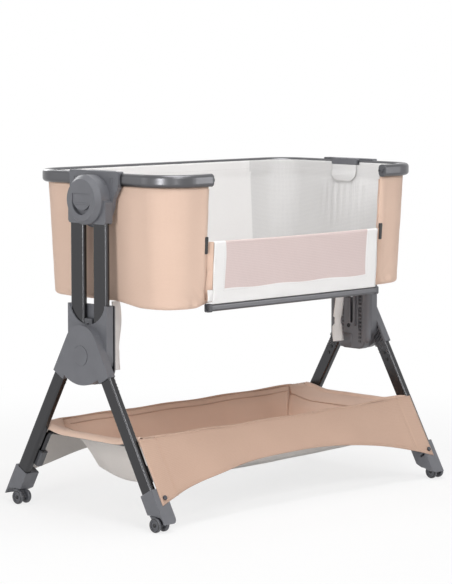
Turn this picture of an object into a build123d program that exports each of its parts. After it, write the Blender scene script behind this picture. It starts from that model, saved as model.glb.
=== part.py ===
from build123d import *
import os
from math import cos, radians, sin, tan

# Bedside bassinet on a height-adjustable stand, in millimetres.
# X runs along the length, the drop side faces -Y, Z is up and the floor is z = 0.

os.makedirs("parts", exist_ok=True)

SIDES = {"left": -1, "right": 1}
ENDS = {"front": -1, "rear": 1}

# Clearances
fit_gap = 0.2
soft_gap = 0.3
run_gap = 0.05
swing_gap = 0.5

# Top rail, an oval tube bent into a C that is open at the front
rail_length = 893.0
rail_width = 494.6
rail_corner = 90.0
rail_top = 813.0
rail_height = 30.0
rail_depth = 22.0
rail_round = 9.0
rail_wall = 1.5
rail_gap = 608.0

# End plugs of the rail and the drop bar that fits between them
plug_flange = 4.0
plug_insert = 14.0
boss_radius = 5.5
boss_length = 8.0
boss_hole = 2.5
bar_below_basin = 1.5
bar_height = 17.0
bar_depth = 17.4
bar_round = 5.0
bar_wall = 1.5
bar_clear = 2.0
cap_length = 10.0
slot_gap = 1.0
cap_height = 20.0
cap_round = 4.0

# Fabric basin, its lining, floor board, mattress and folded drop panel
basin_inset = 16.0
basin_corner = 76.0
basin_taper = 14.0
basin_bottom = 508.0
basin_wall = 4.0
basin_bottom_round = 8.0
basin_rail_gap = 0.5
lining_wall = 2.2
lining_bend = 16.5
lining_below_top = 5.0
lining_notch_gap = 1.0
board_thick = 11.5
board_margin = 8.0
mattress_thick = 44.0
mattress_inset = 14.0
mattress_edge = 9.0
mattress_crown = 7.0
panel_slack = 2.0
panel_sheet = 2.0
panel_side_gap = 1.0
opening_gap = 2.0

# Zip sliders on the edges of the drop panel, and the bed straps
zip_above_fold = 5.0
zip_in = 4.0
slider_width = 10.0
slider_height = 13.0
slider_thick = 4.0
pull_width = 9.0
pull_length = 34.0
pull_thick = 2.5
strap_width = 25.0
strap_length = 168.0
strap_thick = 2.0
strap_x = 395.0
strap_y = {"left": -11.0, "right": -6.0}
strap_wave = 5.0

# Saddles on the rail, and the pivot heads on the columns
pivot_drop = 48.0
saddle_width = 170.0
saddle_skin = 4.0
saddle_cheek = 6.5
saddle_plate = 10.5
saddle_lip = 3.5
saddle_radius = 66.0
saddle_hook_half = 44.0
saddle_hook_drop = 12.0
head_radius = 58.5
head_face_radius = 49.0
head_depth = 40.0
head_bevel = 12.0
neck_width = 131.0
neck_depth = 21.5
neck_drop = 56.0
neck_round = 8.0
socket_depth = 30.0
pivot_radius = 8.0
pivot_engage = 21.0
pivot_head_radius = 12.0
pivot_head_thick = 3.0

# Release levers in the pivot heads
lever_half = 31.0
lever_drop = 4.0
lever_rise = 15.0
recess_depth = 10.0
lever_thick = 5.0
lever_gap = 0.5
lever_bottom = 20.0
lever_set = 2.0
hinge_radius = 2.0
hinge_below_top = 4.0
hinge_engage = 3.0

# Twin columns, their sleeves and the lock inside each pair
column_x = 465.0
column_pitch = 79.6
column_thick = 15.0
column_width = 47.0
column_round = 7.0
column_wall = 1.5
column_foot_z = 440.0
slide_gap = 0.3
sleeve_top = 503.0
sleeve_bottom = 316.0
sleeve_floor = 2.0
sleeve_side = 4.4
sleeve_outer_wall = 3.2
sleeve_inner_wall = 5.2
sleeve_toe_half = 36.0
sleeve_toe_rise = 49.0
sleeve_toe_round = 24.0
sleeve_corner = 9.0
notch_radius = 65.0
notch_rise = 18.0
cell_count = 4
cell_depth = 2.4
cell_width = 30.0
cell_height = 24.0
cell_pitch = 32.0
foot_bar = 6.0
foot_plug = 15.0
lock_half = 13.0
lock_rise = 30.0
lock_radius = 4.0
lock_slot_gap = 0.3
lock_travel = 5.0

# Legs and their covers
leg_lean = radians(29.5)
leg_ref_y = 171.4
leg_ref_z = 173.0
leg_thick = 18.0
leg_width = 34.5
leg_round = 5.0
leg_wall = 1.5
leg_top_z = 418.0
leg_low_z = 64.0
cover_side = 1.8
cover_face = 3.0
cover_low_z = 332.5
cover_web_z = 333.0
cover_belly_z = 314.0
cover_top_z = 456.0
cover_top_round = 54.0
disc_z = 384.0
disc_radius = 23.5
disc_rise = 0.8
disc_groove = 0.8
screw_radius = 4.5
screw_head = 1.5
screw_z = (311.0, 294.0)

# Feet and casters
foot_top_z = 86.0
foot_side = 3.0
foot_front = 5.0
foot_skin = 1.5
foot_inset = 41.0
foot_tip_z = 20.0
foot_heel_z = 36.0
foot_tip_length = 20.0
foot_cell_z = (80.0, 68.0, 56.0)
foot_cell_long = 6.0
foot_cell_wide = 15.0
foot_cell_across = 9.0
foot_cell_depth = 18.0
caster_x = 488.0
caster_y = 243.5
caster_trail = 15.0
stem_radius = 4.0
stem_length = 19.0
wheel_radius = 17.0
wheel_width = 9.0
wheel_pitch = 25.2
wheel_round = 3.0
wheel_dish = 1.5
axle_radius = 2.5
hub_dish_radius = 11.0
yoke_gap = 0.6
yoke_top = 35.0
yoke_head = 10.0
caster_room = ((0.0, 0.0), (36.8, 0.0), (36.8, 20.0), (33.8, 28.0), (26.5, 34.5), (0.0, 37.0))
foot_tip_round = 12.0

# Basket, its end hoops and their brackets
hoop_x = 466.0
hoop_z = 186.0
hoop_half = 148.0
hoop_low_z = 118.0
hoop_bend = 28.0
hoop_radius = 7.0
hoop_wall = 1.5
bracket_wide = 26.0
bracket_long = 40.0
bracket_deep = 20.0
bracket_round = 5.0
tray_top = 200.0
tray_bottom = 84.0
tray_half_length = 345.0
tray_lap = 4.0
tray_half_width = 95.0
tray_corner = 20.0
tray_wall = 3.0
hem_radius = 9.8
hem_length = 220.0
skirt_top_z = 206.0
skirt_low_z = 62.0
skirt_arch_z = 130.0
skirt_half = 482.0
skirt_flat = 60.0
skirt_thick = 3.0
stud_radius = 5.5
stud_thick = 2.5
stud_in = 14.0
stud_up = 15.0

# Places worked out from the sizes above
rail_z = rail_top - rail_height / 2
rail_x = (rail_length - rail_depth) / 2
rail_y = (rail_width - rail_depth) / 2
rail_outer_x = rail_length / 2
rail_bottom = rail_top - rail_height
pivot_z = rail_z - pivot_drop
neck_low = pivot_z - neck_drop
basin_length = rail_length - 2 * basin_inset
basin_width = rail_width - 2 * basin_inset
basin_top = rail_bottom - basin_rail_gap
basin_floor = basin_bottom + basin_wall
opening_half = rail_gap / 2 - opening_gap
bar_half = rail_gap / 2 - plug_flange - bar_clear
bar_z = basin_bottom - bar_below_basin - bar_height / 2
bar_top = bar_z + bar_height / 2
panel_fold_z = (bar_top + rail_z + bar_height / 2) / 2 - panel_slack
zip_z = panel_fold_z + zip_above_fold
front_slope = basin_taper / (basin_top - basin_bottom)
bar_y = -rail_y + front_slope * (rail_z - bar_z)
panel_half = bar_half - cap_length - panel_side_gap
head_x = rail_outer_x + saddle_cheek + swing_gap
head_face_x = head_x + head_depth
plate_x = rail_outer_x + saddle_cheek - saddle_plate
column_y = column_pitch / 2
leg_x = column_x + column_thick / 2 + slide_gap + sleeve_outer_wall + leg_thick / 2
leg_inner_x = leg_x - leg_thick / 2
leg_outer_x = leg_x + leg_thick / 2
sleeve_x = column_x - column_thick / 2 - slide_gap - sleeve_inner_wall
sleeve_half = column_y + column_width / 2 + slide_gap + sleeve_side
lock_z = column_foot_z + lock_rise / 2
cover_half = leg_width / 2 + cover_side
cover_face_x = leg_outer_x + cover_face
foot_x = leg_outer_x + foot_skin
foot_outer_across = leg_width / 2 + foot_front
tray_top_half = hoop_x + tray_lap
sleeve_seat = sleeve_bottom + sleeve_toe_rise + sleeve_floor
height_travel = column_foot_z - foot_bar - sleeve_seat - slide_gap


def leg_y(z):
    """Distance of a leg's centreline from the middle plane at height z."""
    return leg_ref_y + (leg_ref_z - z) * tan(leg_lean)


def beside_leg(z, across):
    """Point (y, z) that lies `across` outside a leg's centreline, square to it from height z."""
    return leg_y(z) + across * cos(leg_lean), z + across * sin(leg_lean)


def at_height(z, across):
    """Point (y, z) at height z on a line that runs `across` outside a leg's centreline."""
    return beside_leg(z - across * sin(leg_lean), across)


def flip(points, end):
    """The same outline on the front (-1) or rear (1) side."""
    return [(end * y, z) for y, z in points]


def leg_plane(side, end, z):
    """Plane square to a leg, with its z along the leg upwards and its x along X."""
    return Plane(
        origin=(side * leg_x, end * leg_y(z), z),
        x_dir=(1, 0, 0),
        z_dir=(0, -end * sin(leg_lean), cos(leg_lean)),
    )


def leg_run(z_low, z_high):
    """Length along a leg between two heights."""
    return (z_high - z_low) / cos(leg_lean)


def basin_outline(z, inset):
    """Length, width and corner of the basin's outline at height z, drawn in by `inset`."""
    drawn = basin_taper * (basin_top - z) / (basin_top - basin_bottom) + inset
    return basin_length - 2 * drawn, basin_width - 2 * drawn, basin_corner - drawn


def lining_outline(z, inset):
    """Length, width and corner of the lining at height z: inside the basin below, inside the rail at the top."""
    if z < basin_top:
        return basin_outline(z, basin_wall + soft_gap + inset)
    drawn = rail_depth + soft_gap + inset
    return rail_length - 2 * drawn, rail_width - 2 * drawn, rail_corner - drawn


def tray_outline(z, inset):
    """Length, width and corner of the basket tray at height z, drawn in by `inset`."""
    share = (z - tray_bottom) / (tray_top - tray_bottom)
    top_half_width = at_height(tray_top, foot_outer_across)[0] - soft_gap
    half_length = tray_half_length + share * (tray_top_half - tray_half_length) - inset
    half_width = tray_half_width + share * (top_half_width - tray_half_width) - inset
    return 2 * half_length, 2 * half_width, tray_corner - inset


# Legs, feet and casters, one set at each corner
for side_name, side in SIDES.items():
    for end_name, end in ENDS.items():
        corner = f"{side_name}_{end_name}"

        with BuildPart() as leg:
            with BuildSketch(leg_plane(side, end, leg_low_z)):
                RectangleRounded(leg_thick, leg_width, leg_round)
                RectangleRounded(
                    leg_thick - 2 * leg_wall,
                    leg_width - 2 * leg_wall,
                    leg_round - leg_wall,
                    mode=Mode.SUBTRACT,
                )
            extrude(amount=leg_run(leg_low_z, leg_top_z))
        leg.part.label = f"leg_{corner}"
        export_step(leg.part, f"parts/leg_{corner}.step")

        foot_tip = at_height(foot_tip_z, foot_outer_across)
        foot_outline = [
            beside_leg(foot_top_z, -leg_width / 2 - foot_side),
            beside_leg(foot_top_z, foot_outer_across),
            foot_tip,
            (foot_tip[0] - foot_tip_length, foot_tip_z),
            at_height(foot_heel_z, -leg_width / 2 - foot_side),
        ]
        with BuildPart() as foot:
            with BuildSketch(Plane.YZ.offset(side * (foot_x - foot_inset))):
                with BuildLine():
                    Polyline(flip(foot_outline, end), close=True)
                make_face()
            extrude(amount=side * foot_inset)
            with BuildSketch(leg_plane(side, end, leg_low_z - fit_gap)):
                RectangleRounded(leg_thick + 2 * fit_gap, leg_width + 2 * fit_gap, leg_round + fit_gap)
            extrude(amount=leg_run(leg_low_z, foot_top_z) + leg_width, mode=Mode.SUBTRACT)
            tip_edges = foot.edges().filter_by(Axis.Y).sort_by(Axis.X)
            fillet(tip_edges[0] if side > 0 else tip_edges[-1], foot_tip_round)
            stem_plane = Plane(origin=(side * caster_x, end * caster_y, 0), x_dir=(1, 0, 0), z_dir=(0, -1, 0))
            with BuildSketch(stem_plane):
                with BuildLine():
                    Polyline(caster_room, close=True)
                make_face()
            revolve(axis=Axis(stem_plane.origin, (0, 0, 1)), mode=Mode.SUBTRACT)
            with BuildSketch(Plane.XY):
                with Locations((side * caster_x, end * caster_y)):
                    Circle(stem_radius + run_gap)
            extrude(amount=yoke_top + stem_length + fit_gap, mode=Mode.SUBTRACT)
            with BuildSketch(Plane.YZ.offset(side * (foot_x - foot_inset))):
                for cell_z in foot_cell_z:
                    with Locations(flip([beside_leg(cell_z, foot_cell_across)], end)):
                        Rectangle(foot_cell_wide, foot_cell_long, rotation=end * 29.5)
            extrude(amount=side * foot_cell_depth, mode=Mode.SUBTRACT)
        foot.part.label = f"foot_{corner}"
        export_step(foot.part, f"parts/foot_{corner}.step")

        # The wheels trail towards the front, as they were left after the stand was rolled
        wheel_y = end * caster_y - caster_trail
        yoke_half = wheel_pitch / 2 - wheel_width / 2 - yoke_gap
        with BuildPart() as yoke:
            with BuildSketch(Plane.YZ.offset(side * caster_x - yoke_half)):
                with BuildLine():
                    Polyline(
                        (end * caster_y + yoke_head, yoke_top),
                        (end * caster_y - yoke_head, yoke_top),
                        (wheel_y - yoke_head, wheel_radius),
                        (wheel_y, wheel_radius - yoke_head),
                        (wheel_y + yoke_head, wheel_radius),
                        close=True,
                    )
                make_face()
            extrude(amount=2 * yoke_half)
            with BuildSketch(Plane.XY.offset(yoke_top)):
                with Locations((side * caster_x, end * caster_y)):
                    Circle(stem_radius)
            extrude(amount=stem_length)
            axle_half = wheel_pitch / 2 + wheel_width / 2 - wheel_dish
            with BuildSketch(Plane.YZ.offset(side * caster_x - axle_half)):
                with Locations((wheel_y, wheel_radius)):
                    Circle(axle_radius)
            extrude(amount=2 * axle_half)
        yoke.part.label = f"caster_yoke_{corner}"
        export_step(yoke.part, f"parts/caster_yoke_{corner}.step")

        with BuildPart() as wheels:
            for face in (-1, 1):
                wheel_mid = side * caster_x + face * wheel_pitch / 2
                with BuildSketch(Plane.YZ.offset(wheel_mid - wheel_width / 2)):
                    with Locations((wheel_y, wheel_radius)):
                        Circle(wheel_radius)
                        Circle(axle_radius + run_gap, mode=Mode.SUBTRACT)
                extrude(amount=wheel_width)
            rims = wheels.edges().filter_by(GeomType.CIRCLE)
            fillet([edge for edge in rims if edge.radius > hub_dish_radius], wheel_round)
            for face in (-1, 1):
                dish_x = side * caster_x + face * (wheel_pitch / 2 + wheel_width / 2)
                with BuildSketch(Plane.YZ.offset(dish_x)):
                    with Locations((wheel_y, wheel_radius)):
                        Circle(hub_dish_radius)
                extrude(amount=-face * wheel_dish, mode=Mode.SUBTRACT)
        wheels.part.label = f"caster_wheels_{corner}"
        export_step(wheels.part, f"parts/caster_wheels_{corner}.step")

# Leg covers, sleeves, end hoops and columns, one set at each end
for side_name, side in SIDES.items():
    cover_arm = [
        at_height(cover_top_z, cover_half),
        beside_leg(cover_low_z, cover_half),
        beside_leg(cover_low_z, -cover_half),
        at_height(cover_web_z, -cover_half),
    ]
    other_arm = flip(cover_arm, -1)
    with BuildPart() as cover:
        with BuildSketch(Plane.YZ.offset(side * leg_inner_x)) as cover_shape:
            with BuildLine():
                Polyline(cover_arm)
                ThreePointArc(cover_arm[-1], (0, cover_belly_z), other_arm[-1])
                Polyline(other_arm[::-1] + cover_arm[:1])
            make_face()
            fillet(cover_shape.vertices().group_by(Axis.Y)[-1], cover_top_round)
        extrude(amount=side * (leg_thick + cover_face))
        with BuildSketch(Plane.YZ.offset(side * cover_face_x)):
            with Locations((0, disc_z)):
                Circle(disc_radius)
        extrude(amount=side * disc_rise)
        with BuildSketch(Plane.YZ.offset(side * cover_face_x)):
            with Locations((0, disc_z)):
                Circle(disc_radius + disc_groove)
                Circle(disc_radius, mode=Mode.SUBTRACT)
        extrude(amount=-side * disc_groove, mode=Mode.SUBTRACT)
        for end in ENDS.values():
            with BuildSketch(leg_plane(side, end, foot_top_z)):
                RectangleRounded(leg_thick + 2 * fit_gap, leg_width + 2 * fit_gap, leg_round + fit_gap)
            extrude(amount=leg_run(foot_top_z, leg_top_z) + fit_gap, mode=Mode.SUBTRACT)
    cover.part.label = f"leg_cover_{side_name}"
    export_step(cover.part, f"parts/leg_cover_{side_name}.step")

    sleeve_side_points = [
        (sleeve_half, sleeve_top),
        (sleeve_half, sleeve_bottom + sleeve_toe_rise),
        (sleeve_toe_half, sleeve_bottom),
    ]
    with BuildPart() as sleeve:
        with BuildSketch(Plane.YZ.offset(side * sleeve_x)) as sleeve_shape:
            with BuildLine():
                Polyline(sleeve_side_points + flip(sleeve_side_points, -1)[::-1], close=True)
            make_face()
            fillet(sleeve_shape.vertices().sort_by(Axis.Y)[:4], sleeve_toe_round)
        extrude(amount=side * (leg_inner_x - sleeve_x))
        inner_edges = sleeve.edges().filter_by(Axis.Z).sort_by(Axis.X)
        fillet(inner_edges[:2] if side > 0 else inner_edges[2:], sleeve_corner / 2)
        with BuildSketch(Plane.XY.offset(sleeve_seat)):
            with Locations((side * column_x, 0)):
                RectangleRounded(
                    column_thick + 2 * slide_gap,
                    2 * (sleeve_half - sleeve_side),
                    column_round + slide_gap,
                )
        extrude(amount=sleeve_top - sleeve_seat, mode=Mode.SUBTRACT)
        with BuildSketch(Plane.YZ.offset(side * (leg_inner_x - sleeve_outer_wall))):
            with Locations((0, sleeve_top + notch_rise)):
                Circle(notch_radius)
        extrude(amount=side * sleeve_outer_wall, mode=Mode.SUBTRACT)
        with BuildSketch(Plane.YZ.offset(side * sleeve_x)):
            with Locations((0, lock_z - height_travel / 2)):
                SlotOverall(
                    height_travel + 2 * (lock_radius + lock_slot_gap),
                    2 * (lock_radius + lock_slot_gap),
                    rotation=90,
                )
        extrude(amount=side * sleeve_inner_wall, mode=Mode.SUBTRACT)
        with BuildSketch(Plane.YZ.offset(side * sleeve_x)):
            cells_z = sleeve_bottom + sleeve_toe_rise + cell_count * cell_pitch / 2
            with Locations((0, cells_z)):
                with GridLocations(column_pitch, cell_pitch, 2, cell_count):
                    Rectangle(cell_width, cell_height)
        extrude(amount=side * cell_depth, mode=Mode.SUBTRACT)
    sleeve.part.label = f"column_sleeve_{side_name}"
    export_step(sleeve.part, f"parts/column_sleeve_{side_name}.step")

    for end_name, end in ENDS.items():
        with BuildPart() as column:
            with BuildSketch(Plane.XY.offset(column_foot_z)):
                with Locations((side * column_x, end * column_y)):
                    RectangleRounded(column_thick, column_width, column_round)
                    RectangleRounded(
                        column_thick - 2 * column_wall,
                        column_width - 2 * column_wall,
                        column_round - column_wall,
                        mode=Mode.SUBTRACT,
                    )
            extrude(amount=neck_low + socket_depth - column_foot_z)
        column.part.label = f"column_{side_name}_{end_name}"
        export_step(column.part, f"parts/column_{side_name}_{end_name}.step")

    # Bar that joins the two column ends, with a plug in each tube and a bored lock block
    with BuildPart() as lock_block:
        with BuildSketch(Plane.XY.offset(column_foot_z - foot_bar)):
            with Locations((side * column_x, 0)):
                RectangleRounded(column_thick, column_pitch + column_width, column_round)
        extrude(amount=foot_bar)
        with BuildSketch(Plane.XY.offset(column_foot_z)):
            with Locations((side * column_x, -column_y), (side * column_x, column_y)):
                RectangleRounded(
                    column_thick - 2 * (column_wall + fit_gap),
                    column_width - 2 * (column_wall + fit_gap),
                    column_round - column_wall - fit_gap,
                )
        extrude(amount=foot_plug)
        with BuildSketch(Plane.XY.offset(column_foot_z)):
            with Locations((side * column_x, 0)):
                Rectangle(column_thick, 2 * lock_half)
        extrude(amount=lock_rise)
        with BuildSketch(Plane.YZ.offset(side * (column_x - column_thick))):
            with Locations((0, lock_z)):
                Circle(lock_radius + run_gap)
        extrude(amount=side * 2 * column_thick, mode=Mode.SUBTRACT)
    lock_block.part.label = f"lock_block_{side_name}"
    export_step(lock_block.part, f"parts/lock_block_{side_name}.step")

    with BuildPart() as lock_pin:
        with BuildSketch(Plane.YZ.offset(side * (sleeve_x + soft_gap))):
            with Locations((0, lock_z)):
                Circle(lock_radius)
        extrude(amount=side * (column_x + column_thick / 2 - lock_travel - sleeve_x - soft_gap))
    lock_pin.part.label = f"lock_pin_{side_name}"
    export_step(lock_pin.part, f"parts/lock_pin_{side_name}.step")

    hoop_foot_y = hoop_half + (hoop_z - hoop_low_z) * tan(leg_lean)
    with BuildPart() as hoop:
        with BuildLine(Plane.YZ.offset(side * hoop_x)):
            hoop_path = FilletPolyline(
                (-hoop_foot_y, hoop_low_z),
                (-hoop_half, hoop_z),
                (hoop_half, hoop_z),
                (hoop_foot_y, hoop_low_z),
                radius=hoop_bend,
            )
        with BuildSketch(Plane(origin=hoop_path @ 0, z_dir=hoop_path % 0)):
            Circle(hoop_radius)
            Circle(hoop_radius - hoop_wall, mode=Mode.SUBTRACT)
        sweep()
    hoop.part.label = f"basket_hoop_{side_name}"
    export_step(hoop.part, f"parts/basket_hoop_{side_name}.step")

# Brackets that hold the hoops' ends on the legs, one group of four
with BuildPart() as brackets:
    for side in SIDES.values():
        for end in ENDS.values():
            hoop_end = Plane(
                origin=(side * hoop_x, end * hoop_foot_y, hoop_low_z),
                x_dir=(1, 0, 0),
                z_dir=(0, -end * sin(leg_lean), cos(leg_lean)),
            )
            block_plane = hoop_end.offset(-bracket_long / 2)
            block_plane.origin += Vector(side * (leg_inner_x - hoop_x - bracket_deep / 2), 0, 0)
            with BuildSketch(block_plane):
                RectangleRounded(bracket_deep, bracket_wide, bracket_round)
            extrude(amount=bracket_long)
            with BuildSketch(hoop_end):
                Circle(hoop_radius + fit_gap)
            extrude(amount=bracket_long, mode=Mode.SUBTRACT)
brackets.part.label = "hoop_brackets"
export_step(brackets.part, "parts/hoop_brackets.step")

# Screws in the inner faces of the legs, one group
with BuildPart() as screws:
    for side in SIDES.values():
        for end in ENDS.values():
            with BuildSketch(Plane.YZ.offset(side * leg_inner_x)):
                with Locations(flip([beside_leg(z, 0) for z in screw_z], end)):
                    Circle(screw_radius)
            extrude(amount=-side * screw_head)
screws.part.label = "leg_screws"
export_step(screws.part, "parts/leg_screws.step")

# Basket tray, hung on the hoops by the hems at its ends
with BuildPart() as tray:
    for z in (tray_bottom, tray_top):
        with BuildSketch(Plane.XY.offset(z)):
            RectangleRounded(*tray_outline(z, 0))
    loft(ruled=True)
    for z in (tray_bottom + tray_wall, tray_top):
        with BuildSketch(Plane.XY.offset(z)):
            RectangleRounded(*tray_outline(z, tray_wall))
    loft(ruled=True, mode=Mode.SUBTRACT)
    for side in SIDES.values():
        with BuildSketch(Plane.XZ.offset(-hem_length / 2)):
            with Locations((side * hoop_x, hoop_z)):
                Circle(hem_radius)
        extrude(amount=hem_length)
    for side in SIDES.values():
        with BuildSketch(Plane.XZ.offset(-leg_ref_y)):
            with Locations((side * hoop_x, hoop_z)):
                Circle(hoop_radius + soft_gap)
        extrude(amount=2 * leg_ref_y, mode=Mode.SUBTRACT)
tray.part.label = "basket_tray"
export_step(tray.part, "parts/basket_tray.step")

# Arched skirts in front of and behind the basket, in the planes of the legs
skirt_across = foot_outer_across + soft_gap
skirt_studs = []
for end_name, end in ENDS.items():
    low_y, low_z = at_height(skirt_low_z, skirt_across)
    skirt_plane = Plane(
        origin=(0, end * low_y, low_z),
        x_dir=(end * -1, 0, 0),
        z_dir=(0, end * cos(leg_lean), sin(leg_lean)),
    )
    skirt_rise = leg_run(skirt_low_z, skirt_top_z)
    arch_rise = leg_run(skirt_low_z, skirt_arch_z)
    with BuildPart() as skirt:
        with BuildSketch(skirt_plane):
            with BuildLine():
                Polyline(
                    (-skirt_half + skirt_flat, 0),
                    (-skirt_half, 0),
                    (-skirt_half, skirt_rise),
                    (skirt_half, skirt_rise),
                    (skirt_half, 0),
                    (skirt_half - skirt_flat, 0),
                )
                ThreePointArc((skirt_half - skirt_flat, 0), (0, arch_rise), (-skirt_half + skirt_flat, 0))
            make_face()
        extrude(amount=skirt_thick)
    skirt.part.label = f"basket_skirt_{end_name}"
    export_step(skirt.part, f"parts/basket_skirt_{end_name}.step")
    skirt_studs.append(skirt_plane.offset(skirt_thick))

with BuildPart() as studs:
    for stud_plane in skirt_studs:
        with BuildSketch(stud_plane):
            with Locations((-skirt_half + stud_in, stud_up), (skirt_half - stud_in, stud_up)):
                Circle(stud_radius)
        extrude(amount=stud_thick)
studs.part.label = "press_studs"
export_step(studs.part, "parts/press_studs.step")

# Pivot heads on the columns, with their levers, pins and the saddles that they carry
for side_name, side in SIDES.items():
    with BuildPart() as head:
        with BuildSketch(Plane.YZ.offset(side * head_x)):
            with Locations((0, pivot_z)):
                Circle(head_radius)
        extrude(amount=side * (head_depth - head_bevel))
        with BuildSketch(Plane.YZ.offset(side * (head_face_x - head_bevel))):
            with Locations((0, pivot_z)):
                Circle(head_radius)
        with BuildSketch(Plane.YZ.offset(side * head_face_x)):
            with Locations((0, pivot_z)):
                Circle(head_face_radius)
        loft()
        with BuildSketch(Plane.YZ.offset(side * head_x)):
            with Locations((0, (neck_low + pivot_z) / 2)):
                RectangleRounded(neck_width, pivot_z - neck_low, neck_round)
        extrude(amount=side * neck_depth)
        with BuildSketch(Plane.XY.offset(neck_low - neck_round)):
            with Locations((side * column_x, -column_y), (side * column_x, column_y)):
                RectangleRounded(
                    column_thick + 2 * fit_gap,
                    column_width + 2 * fit_gap,
                    column_round + fit_gap,
                )
        extrude(amount=neck_round + socket_depth + fit_gap, mode=Mode.SUBTRACT)
        with BuildSketch(Plane.YZ.offset(side * head_face_x)):
            with BuildLine():
                Polyline(
                    (-lever_half, pivot_z - lever_drop),
                    (-lever_half, pivot_z + lever_rise),
                    (lever_half, pivot_z + lever_rise),
                    (lever_half, pivot_z - lever_drop),
                )
                RadiusArc((lever_half, pivot_z - lever_drop), (-lever_half, pivot_z - lever_drop), lever_half)
            make_face()
        extrude(amount=-side * recess_depth, mode=Mode.SUBTRACT)
        with BuildSketch(Plane.YZ.offset(side * head_x)):
            with Locations((0, pivot_z)):
                Circle(pivot_radius + run_gap)
        extrude(amount=side * (pivot_engage + fit_gap), mode=Mode.SUBTRACT)
        hinge_z = pivot_z + lever_rise - hinge_below_top
        hinge_x = head_face_x - lever_set - lever_thick / 2
        with BuildSketch(Plane.XZ.offset(-lever_half - hinge_engage - fit_gap)):
            with Locations((side * hinge_x, hinge_z)):
                Circle(hinge_radius + run_gap)
        extrude(amount=2 * (lever_half + hinge_engage + fit_gap), mode=Mode.SUBTRACT)
    head.part.label = f"pivot_head_{side_name}"
    export_step(head.part, f"parts/pivot_head_{side_name}.step")

    lever_high = lever_rise - lever_gap
    with BuildPart() as lever:
        with BuildSketch(Plane.YZ.offset(side * (head_face_x - lever_set))):
            with BuildLine():
                Polyline(
                    (-lever_half + lever_gap, pivot_z - lever_drop),
                    (-lever_half + lever_gap, pivot_z + lever_high),
                    (lever_half - lever_gap, pivot_z + lever_high),
                    (lever_half - lever_gap, pivot_z - lever_drop),
                )
                ThreePointArc(
                    (lever_half - lever_gap, pivot_z - lever_drop),
                    (0, pivot_z - lever_drop - lever_bottom),
                    (-lever_half + lever_gap, pivot_z - lever_drop),
                )
            make_face()
        extrude(amount=-side * lever_thick)
        with BuildSketch(Plane.XZ.offset(-lever_half - hinge_engage)):
            with Locations((side * hinge_x, hinge_z)):
                Circle(hinge_radius)
        extrude(amount=2 * (lever_half + hinge_engage))
    lever.part.label = f"release_lever_{side_name}"
    export_step(lever.part, f"parts/release_lever_{side_name}.step")

    with BuildPart() as pivot_pin:
        with BuildSketch(Plane.YZ.offset(side * plate_x)):
            with Locations((0, pivot_z)):
                Circle(pivot_radius)
        extrude(amount=side * (head_x + pivot_engage - plate_x))
        with BuildSketch(Plane.YZ.offset(side * plate_x)):
            with Locations((0, pivot_z)):
                Circle(pivot_head_radius)
        extrude(amount=-side * pivot_head_thick)
    pivot_pin.part.label = f"pivot_pin_{side_name}"
    export_step(pivot_pin.part, f"parts/pivot_pin_{side_name}.step")

    saddle_in = rail_outer_x - rail_depth - saddle_skin
    saddle_out = rail_outer_x + saddle_cheek
    shield_side = [
        (saddle_width / 2, rail_bottom),
        (saddle_width / 2, rail_bottom - saddle_lip),
        (saddle_radius, pivot_z),
    ]
    with BuildPart() as saddle:
        with BuildSketch(Plane.YZ.offset(side * rail_x)):
            with Locations((0, (rail_bottom + rail_top + saddle_skin) / 2)):
                RectangleRounded(saddle_width, rail_height + saddle_skin, saddle_lip)
        extrude(amount=side * (saddle_out - rail_x))
        with BuildSketch(Plane.YZ.offset(side * saddle_in)):
            with Locations((0, rail_top + (saddle_skin - saddle_hook_drop) / 2)):
                RectangleRounded(2 * saddle_hook_half, saddle_hook_drop + saddle_skin, saddle_lip)
        extrude(amount=side * (rail_x - saddle_in))
        with BuildSketch(Plane.YZ.offset(side * saddle_out)):
            with BuildLine():
                Polyline(shield_side + flip(shield_side, -1)[::-1], close=True)
            make_face()
            with Locations((0, pivot_z)):
                Circle(saddle_radius)
        extrude(amount=-side * saddle_plate)
        with BuildSketch(Plane.XZ.offset(-saddle_width)):
            with Locations((side * rail_x, rail_z)):
                RectangleRounded(rail_depth + 2 * fit_gap, rail_height + 2 * fit_gap, rail_round + fit_gap)
        extrude(amount=2 * saddle_width, mode=Mode.SUBTRACT)
        with BuildSketch(Plane.YZ.offset(side * saddle_out)):
            with Locations((0, pivot_z)):
                Circle(pivot_radius + run_gap)
        extrude(amount=-side * saddle_plate, mode=Mode.SUBTRACT)
    saddle.part.label = f"rail_saddle_{side_name}"
    export_step(saddle.part, f"parts/rail_saddle_{side_name}.step")

# Top rail
with BuildPart() as rail:
    with BuildLine(Plane.XY.offset(rail_z)):
        rail_path = FilletPolyline(
            (-rail_gap / 2, -rail_y),
            (-rail_x, -rail_y),
            (-rail_x, rail_y),
            (rail_x, rail_y),
            (rail_x, -rail_y),
            (rail_gap / 2, -rail_y),
            radius=rail_corner - rail_depth / 2,
        )
    with BuildSketch(Plane(origin=rail_path @ 0, x_dir=(0, 1, 0), z_dir=rail_path % 0)):
        RectangleRounded(rail_depth, rail_height, rail_round)
        RectangleRounded(
            rail_depth - 2 * rail_wall,
            rail_height - 2 * rail_wall,
            rail_round - rail_wall,
            mode=Mode.SUBTRACT,
        )
    sweep()
rail.part.label = "top_rail"
export_step(rail.part, "parts/top_rail.step")

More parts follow.
